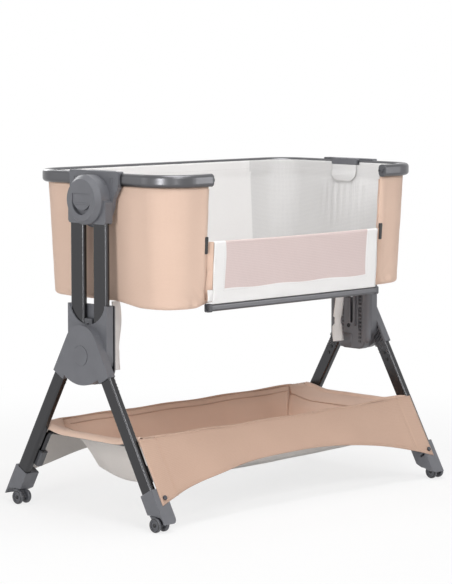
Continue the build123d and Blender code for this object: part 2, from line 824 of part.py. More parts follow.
# Plugs in the rail's open ends, and the caps on the drop bar that their bosses drop into
for side_name, side in SIDES.items():
    tube_end = side * rail_gap / 2
    with BuildPart() as plug:
        with BuildSketch(Plane.YZ.offset(tube_end)):
            with Locations((-rail_y, rail_z)):
                RectangleRounded(rail_depth, rail_height, rail_round)
        extrude(amount=-side * plug_flange)
        with BuildSketch(Plane.YZ.offset(tube_end)):
            with Locations((-rail_y, rail_z)):
                RectangleRounded(
                    rail_depth - 2 * (rail_wall + fit_gap),
                    rail_height - 2 * (rail_wall + fit_gap),
                    rail_round - rail_wall - fit_gap,
                )
        extrude(amount=side * plug_insert)
        with BuildSketch(Plane.YZ.offset(tube_end - side * plug_flange)):
            with Locations((-rail_y, rail_z)):
                Circle(boss_radius)
                Circle(boss_hole, mode=Mode.SUBTRACT)
        extrude(amount=-side * boss_length)
    plug.part.label = f"rail_plug_{side_name}"
    export_step(plug.part, f"parts/rail_plug_{side_name}.step")

    with BuildPart() as cap:
        with BuildSketch(Plane.YZ.offset(side * (bar_half - cap_length))):
            with Locations((bar_y, bar_z)):
                RectangleRounded(bar_depth, cap_height, cap_round)
        extrude(amount=side * cap_length)
        slot_half = boss_radius + slot_gap
        with BuildSketch(Plane.YZ.offset(side * bar_half)):
            with Locations((bar_y, bar_z)):
                Circle(slot_half)
            with Locations((bar_y, bar_z + cap_height / 2)):
                Rectangle(2 * slot_half, cap_height)
        extrude(amount=-side * (boss_length - bar_clear + soft_gap), mode=Mode.SUBTRACT)
    cap.part.label = f"bar_cap_{side_name}"
    export_step(cap.part, f"parts/bar_cap_{side_name}.step")

with BuildPart() as bar:
    with BuildSketch(Plane.YZ.offset(-bar_half + cap_length)):
        with Locations((bar_y, bar_z)):
            RectangleRounded(bar_depth, bar_height, bar_round)
            RectangleRounded(
                bar_depth - 2 * bar_wall,
                bar_height - 2 * bar_wall,
                bar_round - bar_wall,
                mode=Mode.SUBTRACT,
            )
    extrude(amount=2 * (bar_half - cap_length))
bar.part.label = "front_rail"
export_step(bar.part, "parts/front_rail.step")

# Basin: outer fabric, lining, floor board and mattress
with BuildPart() as basin:
    for z in (basin_bottom, basin_top):
        with BuildSketch(Plane.XY.offset(z)):
            RectangleRounded(*basin_outline(z, 0))
    loft(ruled=True)
    fillet(basin.faces().sort_by(Axis.Z)[0].edges(), basin_bottom_round)
    for z in (basin_floor, basin_top):
        with BuildSketch(Plane.XY.offset(z)):
            RectangleRounded(*basin_outline(z, basin_wall))
    loft(ruled=True, mode=Mode.SUBTRACT)
    with BuildSketch(Plane.XY.offset(basin_floor)):
        with Locations((0, -basin_width / 2)):
            Rectangle(2 * opening_half, basin_corner)
    extrude(amount=basin_top - basin_floor, mode=Mode.SUBTRACT)
basin.part.label = "basin_cover"
export_step(basin.part, "parts/basin_cover.step")

board_inset = basin_wall + soft_gap + board_margin
board_low = basin_floor + soft_gap
board_top = board_low + board_thick
with BuildPart() as board:
    with BuildSketch(Plane.XY.offset(board_low)):
        RectangleRounded(*basin_outline(basin_floor, board_inset))
    extrude(amount=board_thick)
board.part.label = "floor_board"
export_step(board.part, "parts/floor_board.step")

lining_low = board_top + soft_gap
lining_top = rail_top - lining_below_top
lining_layers = (lining_low, basin_top - lining_bend, basin_top, lining_top)
with BuildPart() as lining:
    for z in lining_layers:
        with BuildSketch(Plane.XY.offset(z)):
            RectangleRounded(*lining_outline(z, 0))
    loft(ruled=True)
    for z in lining_layers:
        with BuildSketch(Plane.XY.offset(z)):
            RectangleRounded(*lining_outline(z, lining_wall))
    loft(ruled=True, mode=Mode.SUBTRACT)
    with BuildSketch(Plane.XY.offset(lining_low)):
        with Locations((0, -basin_width / 2)):
            Rectangle(2 * opening_half, basin_corner)
    extrude(amount=lining_top - lining_low, mode=Mode.SUBTRACT)
    with BuildSketch(Plane.XY.offset(rail_top - saddle_hook_drop - lining_notch_gap)):
        Rectangle(rail_length, 2 * (saddle_hook_half + lining_notch_gap))
    extrude(amount=rail_height, mode=Mode.SUBTRACT)
lining.part.label = "basin_lining"
export_step(lining.part, "parts/basin_lining.step")

mattress_low = board_top + soft_gap
mattress_layers = [
    (0.0, mattress_edge / 2),
    (mattress_edge, 0.0),
    (mattress_thick - mattress_edge, 0.0),
    (mattress_thick, mattress_edge),
    (mattress_thick + mattress_crown, mattress_inset * mattress_edge),
]
with BuildPart() as mattress:
    for rise, drawn in mattress_layers:
        with BuildSketch(Plane.XY.offset(mattress_low + rise)):
            long, wide, corner = basin_outline(basin_bottom, basin_wall + mattress_inset + drawn)
            RectangleRounded(long, wide, max(corner, mattress_edge))
    loft(ruled=True)
mattress.part.label = "mattress"
export_step(mattress.part, "parts/mattress.step")

# Drop panel, folded in half over itself: the inner half is fixed, the outer half hangs to the bar
inner_low_y = bar_y + bar_depth / 2 + soft_gap - front_slope * (board_low - bar_z)
inner_high_z = panel_fold_z - panel_sheet - soft_gap
inner_high_y = inner_low_y - front_slope * (inner_high_z - board_low)
hem_back_y = -basin_outline(basin_floor, board_inset)[1] / 2 - soft_gap
with BuildPart() as inner_panel:
    with BuildSketch(Plane.YZ.offset(-panel_half)):
        with BuildLine():
            Polyline(
                (inner_low_y, board_low),
                (inner_high_y, inner_high_z),
                (inner_high_y + panel_sheet, inner_high_z),
                (inner_low_y + panel_sheet, board_low + panel_sheet / 2),
                (hem_back_y, board_low + panel_sheet / 2),
                (hem_back_y, board_low),
                close=True,
            )
        make_face()
    extrude(amount=2 * panel_half)
inner_panel.part.label = "drop_panel_inner"
export_step(inner_panel.part, "parts/drop_panel_inner.step")

outer_low_z = bar_top + soft_gap
outer_low_y = bar_y - bar_depth / 2 + panel_sheet / 2
outer_high_y = outer_low_y - front_slope * (panel_fold_z - outer_low_z)
with BuildPart() as outer_panel:
    with BuildSketch(Plane.YZ.offset(-panel_half)):
        with BuildLine():
            Polyline(
                (outer_low_y, outer_low_z),
                (outer_high_y, panel_fold_z),
                (inner_high_y + panel_sheet, panel_fold_z),
                (inner_high_y + panel_sheet, panel_fold_z - panel_sheet),
                (outer_high_y + panel_sheet, panel_fold_z - panel_sheet),
                (outer_low_y + panel_sheet, outer_low_z),
                close=True,
            )
        make_face()
    extrude(amount=2 * panel_half)
outer_panel.part.label = "drop_panel_outer"
export_step(outer_panel.part, "parts/drop_panel_outer.step")

# Zip sliders with their pulls, on the basin's front beside the drop panel
zip_y = -basin_outline(zip_z, -soft_gap)[1] / 2
for side_name, side in SIDES.items():
    zip_plane = Plane(
        origin=(side * (opening_half + zip_in), zip_y, zip_z),
        x_dir=(1, 0, 0),
        z_dir=(0, -1, -front_slope),
    )
    with BuildPart() as zip_slider:
        with BuildSketch(zip_plane):
            RectangleRounded(slider_width, slider_height, slider_width / 4)
        extrude(amount=slider_thick)
        with BuildSketch(zip_plane.offset(slider_thick - pull_thick)):
            with Locations((0, -pull_length / 2)):
                RectangleRounded(pull_width, pull_length, pull_width / 3)
        extrude(amount=pull_thick)
    zip_slider.part.label = f"zip_slider_{side_name}"
    export_step(zip_slider.part, f"parts/zip_slider_{side_name}.step")

    strap_top = basin_bottom - soft_gap
    strap_mid = strap_y[side_name]
    with BuildPart() as strap:
        with BuildSketch(Plane.YZ.offset(side * strap_x - strap_width / 2)):
            with BuildLine():
                faces = []
                for face in (-strap_thick / 2, strap_thick / 2):
                    faces.append(
                        Spline(
                            (strap_mid + face, strap_top),
                            (strap_mid + face - strap_wave, strap_top - strap_length / 3),
                            (strap_mid + face + strap_wave, strap_top - 2 * strap_length / 3),
                            (strap_mid + face, strap_top - strap_length),
                        )
                    )
                Line(faces[0] @ 0, faces[1] @ 0)
                Line(faces[0] @ 1, faces[1] @ 1)
            make_face()
        extrude(amount=strap_width)
    strap.part.label = f"bed_strap_{side_name}"
    export_step(strap.part, f"parts/bed_strap_{side_name}.step")
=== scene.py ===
"""Dressed model of a bedside bassinet on a height-adjustable stand.

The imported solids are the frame. Every soft piece is remade here as cloth, and every rigid piece keeps its
solid and gets its finish. Sizes are metres in the row frame, unless a name or a comment says mm: X runs along
the length, the drop front faces -Y and Z is up.
"""
import logging
import math
from dataclasses import dataclass
from enum import Enum
from functools import partial
from typing import Callable, Sequence

import bmesh
import bpy
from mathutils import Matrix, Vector, noise


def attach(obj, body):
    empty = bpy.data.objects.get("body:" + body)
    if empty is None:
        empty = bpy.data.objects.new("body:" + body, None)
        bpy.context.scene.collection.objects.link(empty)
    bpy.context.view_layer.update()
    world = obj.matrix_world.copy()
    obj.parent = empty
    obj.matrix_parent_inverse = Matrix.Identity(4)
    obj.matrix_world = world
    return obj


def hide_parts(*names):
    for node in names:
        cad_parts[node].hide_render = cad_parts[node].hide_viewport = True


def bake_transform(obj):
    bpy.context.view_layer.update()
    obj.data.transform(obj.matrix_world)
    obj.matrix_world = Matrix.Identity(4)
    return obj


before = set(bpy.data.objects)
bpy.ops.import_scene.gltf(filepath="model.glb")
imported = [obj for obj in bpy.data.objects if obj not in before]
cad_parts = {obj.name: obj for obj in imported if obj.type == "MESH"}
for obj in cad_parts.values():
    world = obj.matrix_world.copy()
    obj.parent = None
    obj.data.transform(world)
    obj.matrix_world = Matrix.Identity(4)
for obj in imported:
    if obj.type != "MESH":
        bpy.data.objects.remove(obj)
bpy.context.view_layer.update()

LOG = logging.getLogger("bassinet")
MM = 0.001
LEAN = math.radians(29.5)  # of the legs, from upright
LEG_Y, LEG_Z = 0.1714, 0.173  # a point on the middle line of the legs
DROP_STEPS = 24  # columns of a loop between the middle of the front and the side of the drop
WALL_STEPS = 56  # rows of cloth up a wall of the basin
STITCH = (3.6, 0.9, 0.7)  # mm along, across and above the cloth
STITCH_PITCH = 6  # mm
Point = tuple[float, float, float]
Row = list[Point]
Loop = list[tuple[float, ...]]  # x, y, normal x and normal y of each point
Obj = bpy.types.Object
Material = bpy.types.Material
Tree = bpy.types.NodeTree
NodeMaker = Callable[..., bpy.types.Node]


class Half(Enum):
    """One of two opposite halves, whose value is its sign."""

    @property
    def word(self) -> str:
        """Name of the half as the nodes spell it."""
        return self.name.lower()


class Side(Half):
    """The two ends of the bassinet."""

    LEFT = -1
    RIGHT = 1


class End(Half):
    """The drop side and the side opposite it."""

    FRONT = -1
    REAR = 1


# Finishes


def linear(code: str) -> tuple[float, float, float, float]:
    """Turn an sRGB hex colour into linear RGBA.

    Args:
        code: Six hex digits.

    Returns:
        Linear red, green, blue and an alpha of 1.
    """
    parts = [int(code[i : i + 2], 16) / 255 for i in (0, 2, 4)]
    red, green, blue = (c / 12.92 if c <= 0.04045 else ((c + 0.055) / 1.055) ** 2.4 for c in parts)
    return red, green, blue, 1.0


def feed(tree: Tree, node: bpy.types.Node, inputs: dict) -> None:
    """Set a node's inputs.

    Args:
        tree: The node's tree.
        node: Node to set.
        inputs: Input name or index to a value, or to an output socket to link from.
    """
    for key, value in inputs.items():
        if isinstance(value, bpy.types.NodeSocket):
            tree.links.new(value, node.inputs[key])
        else:
            node.inputs[key].default_value = value


def add_node(tree: Tree, kind: str, fields: dict | None = None, inputs: dict | None = None) -> bpy.types.Node:
    """Add one node with its settings and links.

    Args:
        tree: Tree that gets the node.
        kind: Node type.
        fields: Attributes to set on the node.
        inputs: What goes into the node, as in feed().

    Returns:
        The new node.
    """
    node = tree.nodes.new(kind)
    for key, value in (fields or {}).items():
        setattr(node, key, value)
    feed(tree, node, inputs or {})
    return node


def blank_material(name: str) -> tuple[Material, Tree, bpy.types.Node]:
    """Make a material with an empty principled shader.

    Args:
        name: Name of the material.

    Returns:
        The material, its tree and the principled node.
    """
    material = bpy.data.materials.new(name)
    material.use_nodes = True
    tree = material.node_tree
    tree.nodes.clear()
    shader = add_node(tree, "ShaderNodeBsdfPrincipled")
    add_node(tree, "ShaderNodeOutputMaterial", inputs={"Surface": shader.outputs["BSDF"]})
    return material, tree, shader


@dataclass(frozen=True)
class Finish:
    """A named finish. Each kind of material adds its own nodes."""

    name: str

    def wire(self, node: NodeMaker) -> dict:
        """Add the finish's nodes.

        Args:
            node: add_node() for the material's own tree.

        Returns:
            The principled shader's inputs, as in feed().
        """
        raise NotImplementedError

    def make(self) -> Material:
        """Build the material."""
        material, tree, shader = blank_material(self.name)
        feed(tree, shader, self.wire(partial(add_node, tree)))
        return material


@dataclass(frozen=True)
class WovenCloth(Finish):
    """Plain-woven polyester: matt, with a faint thread grid, slubs and slow changes of tone.

    Real threads are about 0.4 mm apart, too fine to show, so they are drawn `thread_mm` apart.
    """

    thread: str
    dip: str
    thread_mm: float = 2.6
    roughness: float = 0.88
    sheen: float = 0.12
    bump: float = 0.22

    def wire(self, node: NodeMaker) -> dict:
        """Weave on the UV map, in metres. Bands of a wave texture repeat after tau / (20 * scale)."""
        place = node("ShaderNodeTexCoord").outputs["UV"]
        scale = math.tau / (20 * self.thread_mm * MM)
        bands = {"Vector": place, "Scale": scale, "Distortion": 0.6, "Detail": 1.0}
        warp, weft = (node("ShaderNodeTexWave", {"bands_direction": axis}, bands) for axis in "XY")
        weave = node("ShaderNodeMath", {"operation": "MULTIPLY"},
                     {0: warp.outputs["Fac"], 1: weft.outputs["Fac"]}).outputs[0]
        tone, slub = (node("ShaderNodeTexNoise", inputs={"Vector": place, "Scale": scale, "Detail": detail})
                      .outputs["Fac"] for scale, detail in ((9.0, 3.0), (230.0, 2.0)))
        mixed = node("ShaderNodeMath", {"operation": "MULTIPLY_ADD"}, {0: tone, 1: 0.75, 2: weave})
        share = node("ShaderNodeMath", {"operation": "MULTIPLY_ADD", "use_clamp": True},
                     {0: slub, 1: 0.45, 2: mixed.outputs[0]})
        ramp = node("ShaderNodeMapRange",
                    inputs={"Value": share.outputs[0], "From Min": 0.3, "From Max": 1.3})
        colour = node("ShaderNodeMix", {"data_type": "RGBA"},
                      {"Factor": ramp.outputs["Result"], "A": linear(self.dip), "B": linear(self.thread)})
        height = node("ShaderNodeMath", {"operation": "MULTIPLY_ADD"}, {0: slub, 1: 0.5, 2: weave})
        bump = node("ShaderNodeBump",
                    inputs={"Height": height.outputs[0], "Strength": self.bump, "Distance": 0.5 * MM})
        return {"Base Color": colour.outputs["Result"], "Normal": bump.outputs["Normal"],
                "Roughness": self.roughness, "Sheen Weight": self.sheen, "Sheen Roughness": 0.5}


@dataclass(frozen=True)
class SpacerMesh(Finish):
    """Knitted polyester spacer mesh: a soft net of small round holes over a paler backing.

    Holes are drawn `hole_mm` apart, about twice the real pitch, so that they show.
    """

    yarn: str
    hole: str
    hole_mm: float = 4.0
    roughness: float = 0.8

    def wire(self, node: NodeMaker) -> dict:
        """Knit on the UV map, in metres."""
        place = node("ShaderNodeTexCoord").outputs["UV"]
        cells = node("ShaderNodeTexVoronoi", {"voronoi_dimensions": "2D"},
                     {"Vector": place, "Scale": 1 / (self.hole_mm * MM), "Randomness": 0.12})
        rim = node("ShaderNodeMapRange", {"interpolation_type": "SMOOTHSTEP"},
                   {"Value": cells.outputs["Distance"], "From Min": 0.22, "From Max": 0.46}).outputs["Result"]
        tone = node("ShaderNodeTexNoise", inputs={"Vector": place, "Scale": 14.0, "Detail": 2.0})
        share = node("ShaderNodeMath", {"operation": "MULTIPLY_ADD", "use_clamp": True},
                     {0: tone.outputs["Fac"], 1: 0.4, 2: rim})
        colour = node("ShaderNodeMix", {"data_type": "RGBA"},
                      {"Factor": share.outputs[0], "A": linear(self.hole), "B": linear(self.yarn)})
        bump = node("ShaderNodeBump", inputs={"Height": rim, "Strength": 0.3, "Distance": 0.6 * MM})
        return {"Base Color": colour.outputs["Result"], "Normal": bump.outputs["Normal"],
                "Roughness": self.roughness, "Sheen Weight": 0.1}


@dataclass(frozen=True)
class Grained(Finish):
    """A hard finish: a fine grain in gloss and relief, and a second tone in patches."""

    colour: str
    second: str
    roughness: float
    grain_mm: float
    gloss: tuple[float, float]  # change of roughness over the grain
    patch: tuple[float, float]  # scale and detail of the second tone's noise
    patch_span: tuple[float, float]
    relief: tuple[float, float]  # strength, and height in mm

    def wire(self, node: NodeMaker) -> dict:
        """Set both noises on object coordinates."""
        place = node("ShaderNodeTexCoord").outputs["Object"]
        grain, patch = (node("ShaderNodeTexNoise", inputs={"Vector": place, "Scale": scale, "Detail": detail})
                        .outputs["Fac"] for scale, detail in ((1 / (self.grain_mm * MM), 2.0), self.patch))
        share = node("ShaderNodeMapRange", inputs={"Value": patch, "From Min": self.patch_span[0],
                                                   "From Max": self.patch_span[1]})
        colour = node("ShaderNodeMix", {"data_type": "RGBA"},
                      {"Factor": share.outputs["Result"], "A": linear(self.colour), "B": linear(self.second)})
        low, high = (self.roughness + change for change in self.gloss)
        rough = node("ShaderNodeMapRange", inputs={"Value": grain, "To Min": low, "To Max": high})
        strength, height = self.relief
        bump = node("ShaderNodeBump", inputs={"Height": grain, "Strength": strength, "Distance": height * MM})
        return {"Base Color": colour.outputs["Result"], "Normal": bump.outputs["Normal"],
                "Roughness": rough.outputs["Result"]}


@dataclass(frozen=True)
class MouldedPlastic(Grained):
    """Injection-moulded ABS or nylon: a fine spark-eroded grain with a soft, even gloss.

    The grain is drawn about twice its real size.
    """

    roughness: float = 0.46
    grain_mm: float = 0.9
    gloss: tuple[float, float] = (-0.06, 0.08)
    patch: tuple[float, float] = (22.0, 4.0)
    patch_span: tuple[float, float] = (0.35, 0.75)
    relief: tuple[float, float] = (0.12, 0.2)

    def wire(self, node: NodeMaker) -> dict:
        """Add a plastic's refraction to the grain."""
        return super().wire(node) | {"IOR": 1.53}


@dataclass(frozen=True)
class CoatedTube(Grained):
    """Aluminium or steel tube in a dark metallic powder coat: satin, with orange peel and long highlights."""

    roughness: float = 0.24
    grain_mm: float = 1.4
    gloss: tuple[float, float] = (-0.05, 0.06)
    patch: tuple[float, float] = (1400.0, 1.0)
    patch_span: tuple[float, float] = (0.0, 1.0)
    relief: tuple[float, float] = (0.02, 0.05)

    def wire(self, node: NodeMaker) -> dict:
        """Make the grained coat metallic."""
        return super().wire(node) | {"Metallic": 1.0}


@dataclass(frozen=True)
class BareMetal(Finish):
    """Nickel-plated or turned steel: fully metallic with fine turning marks."""

    colour: str
    roughness: float = 0.34

    def wire(self, node: NodeMaker) -> dict:
        """Set turning marks on object coordinates."""
        place = node("ShaderNodeTexCoord").outputs["Object"]
        marks = node("ShaderNodeTexNoise", inputs={"Vector": place, "Scale": 900.0, "Detail": 3.0})
        rough = node("ShaderNodeMapRange",
                     inputs={"Value": marks.outputs["Fac"], "To Min": self.roughness - 0.1,
                             "To Max": self.roughness + 0.12})
        return {"Base Color": linear(self.colour), "Roughness": rough.outputs["Result"], "Metallic": 1.0}


@dataclass(frozen=True)
class Fibreboard(Finish):
    """Sanded fibreboard: matt brown with fine short fibres."""

    colour: str
    fibre: str

    def wire(self, node: NodeMaker) -> dict:
        """Set fibres on object coordinates."""
        place = node("ShaderNodeTexCoord").outputs["Object"]
        fibres = node("ShaderNodeTexNoise",
                      inputs={"Vector": place, "Scale": 320.0, "Detail": 6.0, "Distortion": 1.5})
        colour = node("ShaderNodeMix", {"data_type": "RGBA"},
                      {"Factor": fibres.outputs["Fac"], "A": linear(self.colour), "B": linear(self.fibre)})
        return {"Base Color": colour.outputs["Result"], "Roughness": 0.8}


class Finishes:
    """All the finishes of the bassinet, made once."""

    def __init__(self) -> None:
        """Make every material."""
        self.peach = WovenCloth("peach_polyester_weave", "E0C3B1", "D6B8A5").make()
        # basket: the cover's peach cloth drawn darker, as painted shade for the basin's shadow over the
        # skirts and rims
        self.basket = WovenCloth("peach_polyester_basket", "CBAC99", "BB9C89").make()
        self.underside = WovenCloth("pale_grey_coated_reverse", "E0DBD7", "D2CDC9", bump=0.12).make()
        self.white = WovenCloth("white_polyester_weave", "F3F2F1", "E8E6E5", sheen=0.08).make()
        self.mesh = SpacerMesh("pink_spacer_mesh", "DCCAC7", "D0BDBA").make()
        # Spacer mesh of the basin's ends and tabs: greyer than the white cloth, partly its own tone and
        # partly painted shade for the shadowed ends inside the basin.
        self.inner_mesh = SpacerMesh("white_spacer_mesh", "DEDDDC", "C9C8C8", hole_mm=3.4).make()
        self.thread = WovenCloth("peach_sewing_thread", "D2B29E", "B99883", sheen=0.2).make()
        self.white_thread = WovenCloth("white_sewing_thread", "E9E8E7", "CFCDCB", sheen=0.2).make()
        self.grey = MouldedPlastic("grey_abs_grained", "606166", "66676C").make()
        self.dark = MouldedPlastic("dark_grey_nylon", "4C4D51", "545559", roughness=0.5).make()
        self.black = MouldedPlastic("black_nylon", "151617", "1C1D1F", roughness=0.42).make()
        self.wheel = MouldedPlastic("grey_wheel_nylon", "4E4F54", "5A5B60", roughness=0.4).make()
        self.tube = CoatedTube("dark_powder_coated_steel", "434344", "4C4C4E").make()
        self.rail = CoatedTube("grey_powder_coated_aluminium", "5E5E60", "68686B", roughness=0.32).make()
        self.nickel = BareMetal("nickel_plated_steel", "A9A9AC").make()
        self.gunmetal = BareMetal("gunmetal_zinc", "54555A", roughness=0.4).make()
        self.board = Fibreboard("sanded_fibreboard", "A98C66", "8C7150").make()


# Lines and loops of points


def spread(low: float, high: float, steps: int) -> list[float]:
    """Values from `low` to `high` in even steps, with both of them."""
    return [low + (high - low) * i / steps for i in range(steps + 1)]


def wave(value: float, period: float, phase: float = 0.0) -> float:
    """Sine of a length that repeats after `period`."""
    return math.sin(math.tau * value / period + phase)


def ease(value: float, low: float, high: float) -> float:
    """Smooth step of a value from 0 at `low` to 1 at `high`."""
    t = min(max((value - low) / (high - low), 0.0), 1.0)
    return t * t * (3 - 2 * t)


def bell(distance: float, width: float) -> float:
    """Bell curve: 1 at no distance, and almost 0 from two widths on."""
    return math.exp(-((distance / width) ** 2))


def ripple(x: float, y: float, z: float, size: float) -> float:
    """Soft noise between -1 and 1 whose lumps are about `size` metres across."""
    return noise.noise(Vector((x / size, y / size, z / size)))


def running(points: Sequence[Point]) -> list[float]:
    """Length run along a line of points, at each point."""
    total = [0.0]
    for a, b in zip(points, points[1:]):
        total.append(total[-1] + (Vector(b) - Vector(a)).length)
    return total


def ring(centre: Point, radius: float, count: int) -> Row:
    """Points of an upright circle that faces along X."""
    x, y, z = centre
    turns = [i * math.tau / count for i in range(count)]
    return [(x, y + radius * math.cos(a), z + radius * math.sin(a)) for a in turns]


def loop_outline(half_x: float, half_y: float, radius: float, split: float) -> Loop:
    """Walk round a rounded rectangle from the middle of its front, towards -X first.

    Args:
        half_x: Half its length.
        half_y: Half its width.
        radius: Corner radius.
        split: Distance from the middle at which the front gets a point of its own.

    Returns:
        (x, y, normal x, normal y) of each point; the count never changes.
    """
    radius = max(min(radius, half_x, half_y), 1e-4)
    ix, iy = half_x - radius, half_y - radius
    split = min(split, 0.85 * ix)
    points: Loop = []

    def run(ax: float, ay: float, bx: float, by: float, count: int, *out: int) -> None:
        """Add the points of a straight run, without its last."""
        for t in (i / count for i in range(count)):
            points.append((ax + t * (bx - ax), ay + t * (by - ay), *out))

    def bend(cx: float, cy: float, start: float) -> None:
        """Add the points of a corner that turns clockwise seen from above, without its last."""
        for i in range(12):
            angle = math.radians(start - 90 * i / 12)
            nx, ny = math.cos(angle), math.sin(angle)
            points.append((cx + radius * nx, cy + radius * ny, nx, ny))

    run(0, -half_y, -split, -half_y, DROP_STEPS, 0, -1)
    run(-split, -half_y, -ix, -half_y, 10, 0, -1)
    bend(-ix, -iy, 270)
    run(-half_x, -iy, -half_x, iy, 44, -1, 0)
    bend(-ix, iy, 180)
    run(-ix, half_y, ix, half_y, 96, 0, 1)
    bend(ix, iy, 90)
    run(half_x, iy, half_x, -iy, 44, 1, 0)
    bend(ix, -iy, 0)
    run(ix, -half_y, split, -half_y, 10, 0, -1)
    run(split, -half_y, 0, -half_y, DROP_STEPS, 0, -1)
    return points


def in_drop(column: int, count: int) -> bool:
    """Say whether a column of a loop of `count` points lies across the drop."""
    return column < DROP_STEPS or column >= count - DROP_STEPS


# Pieces


def add_object(name: str, data: bpy.types.ID) -> Obj:
    """Put a mesh, curve, lamp or camera in the scene as an object at the origin."""
    obj = bpy.data.objects.new(name, data)
    bpy.context.scene.collection.objects.link(obj)
    return obj


def cloth_grid(name: str, rows: Sequence[Row], materials: Sequence[Material], closed: bool = False,
               keep: Callable[[int, int], bool] | None = None,
               pick: Callable[[int, int], int] | None = None) -> Obj:
    """Weave rows of points into a sheet with a UV map in metres.

    Args:
        name: Name of the object.
        rows: Rows of equal length; the sheet's outside is where the rows' cross product points.
        materials: Materials of the sheet.
        closed: True if each row closes on itself.
        keep: Says whether the face at a row and column is there.
        pick: Gives the material's index for the face at a row and column.

    Returns:
        The sheet, smooth-shaded.
    """
    count = len(rows[0])
    middle = list(rows[len(rows) // 2])
    across = running(middle + middle[:1] if closed else middle)
    along = running([row[count // 2] for row in rows])
    work = bmesh.new()
    layer = work.loops.layers.uv.new("cloth")
    verts = [[work.verts.new(p) for p in row] for row in rows]
    for i in range(len(rows) - 1):
        for j in range(count if closed else count - 1):
            if keep and not keep(i, j):
                continue
            k = (j + 1) % count
            corners = ((i, j, j), (i, k, j + 1), (i + 1, k, j + 1), (i + 1, j, j))
            face = work.faces.new([verts[a][b] for a, b, _ in corners])
            face.smooth = True
            face.material_index = pick(i, j) if pick else 0
            for loop, (a, _, u) in zip(face.loops, corners):
                loop[layer].uv = (across[u], along[a])
    bmesh.ops.delete(work, geom=[v for v in work.verts if not v.link_faces], context="VERTS")
    bmesh.ops.remove_doubles(work, verts=work.verts, dist=1e-6)
    mesh = bpy.data.meshes.new(name)
    work.to_mesh(mesh)
    work.free()
    for material in materials:
        mesh.materials.append(material)
    return add_object(name, mesh)


def close_holes(obj: Obj, below: float = math.inf, turn_out: bool = False) -> None:
    """Fill the holes of a plain mesh.

    Args:
        obj: Mesh object.
        below: Only holes under this height are filled.
        turn_out: True to turn all the faces outwards as well.
    """
    work = bmesh.new()
    work.from_mesh(obj.data)
    edges = [e for e in work.edges if e.is_boundary and all(v.co.z < below for v in e.verts)]
    bmesh.ops.holes_fill(work, edges=edges, sides=0)
    if turn_out:
        bmesh.ops.recalc_face_normals(work, faces=work.faces)
    work.to_mesh(obj.data)
    work.free()


def bake(obj: Obj) -> Obj:
    """Turn an object's modifiers into its plain mesh.

    Args:
        obj: Mesh or curve object.

    Returns:
        A mesh object of the same name, with no modifiers.
    """
    bpy.context.view_layer.update()
    graph = bpy.context.evaluated_depsgraph_get()
    mesh = bpy.data.meshes.new_from_object(obj.evaluated_get(graph), depsgraph=graph)
    name = obj.name
    old = obj.data
    bpy.data.objects.remove(obj)
    (bpy.data.curves if isinstance(old, bpy.types.Curve) else bpy.data.meshes).remove(old)
    mesh.name = name
    return add_object(name, mesh)


def smooth(obj: Obj) -> Obj:
    """Shade a mesh object smooth."""
    for polygon in obj.data.polygons:
        polygon.use_smooth = True
    return obj


def thicken(obj: Obj, thickness: float, offset: float = -1.0, inner: int = 0) -> Obj:
    """Give a sheet its thickness, as a plain mesh.

    Args:
        obj: The sheet.
        thickness: Thickness in mm.
        offset: -1 thickens against the sheet's normals, 1 along them and 0 both ways.
        inner: Added to the material index on the thickened side.

    Returns:
        The closed piece.
    """
    solid = obj.modifiers.new("thickness", "SOLIDIFY")
    solid.thickness = thickness * MM
    solid.offset = offset
    solid.use_even_offset = False
    solid.material_offset = inner
    return bake(obj)


def curve_object(name: str, paths: Sequence[Sequence[Point]], closed: bool = False) -> Obj:
    """Put lines of points in the scene as one curve object."""
    curve = bpy.data.curves.new(name, "CURVE")
    curve.dimensions = "3D"
    for path in paths:
        spline = curve.splines.new("POLY")
        spline.points.add(len(path) - 1)
        spline.use_cyclic_u = closed
        for point, place in zip(spline.points, path):
            point.co = (*place, 1.0)
    return add_object(name, curve)


def tube(name: str, path: Sequence[Point], radius: float, material: Material, closed: bool = False) -> Obj:
    """Sweep a round cord, such as piping or a rolled hem, along a path.

    Args:
        name: Name of the object.
        path: Points of the path.
        radius: Radius of the cord in mm.
        material: Finish of the cord.
        closed: True if the path closes on itself.

    Returns:
        A plain mesh.
    """
    obj = curve_object(name, [path], closed)
    obj.data.bevel_depth = radius * MM
    obj.data.bevel_resolution = 2
    obj.data.use_fill_caps = not closed
    obj.data.materials.append(material)
    return smooth(bake(obj))


def join(name: str, pieces: Sequence[Obj]) -> Obj:
    """Join plain meshes into one object.

    Args:
        name: Name of the joined object.
        pieces: Mesh objects at the origin.

    Returns:
        The joined object.
    """
    with bpy.context.temp_override(active_object=pieces[0], selected_objects=list(pieces),
                                   selected_editable_objects=list(pieces)):
        bpy.ops.object.join()
    pieces[0].name = pieces[0].data.name = name
    return pieces[0]


def settle(piece: Obj, body: str, replaces: str | None = None) -> Obj:
    """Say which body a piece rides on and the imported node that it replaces.

    Args:
        piece: The piece.
        body: Body that carries it.
        replaces: Node that it stands for, if any.

    Returns:
        The piece.
    """
    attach(piece, body)
    if replaces:
        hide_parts(replaces)
    return piece


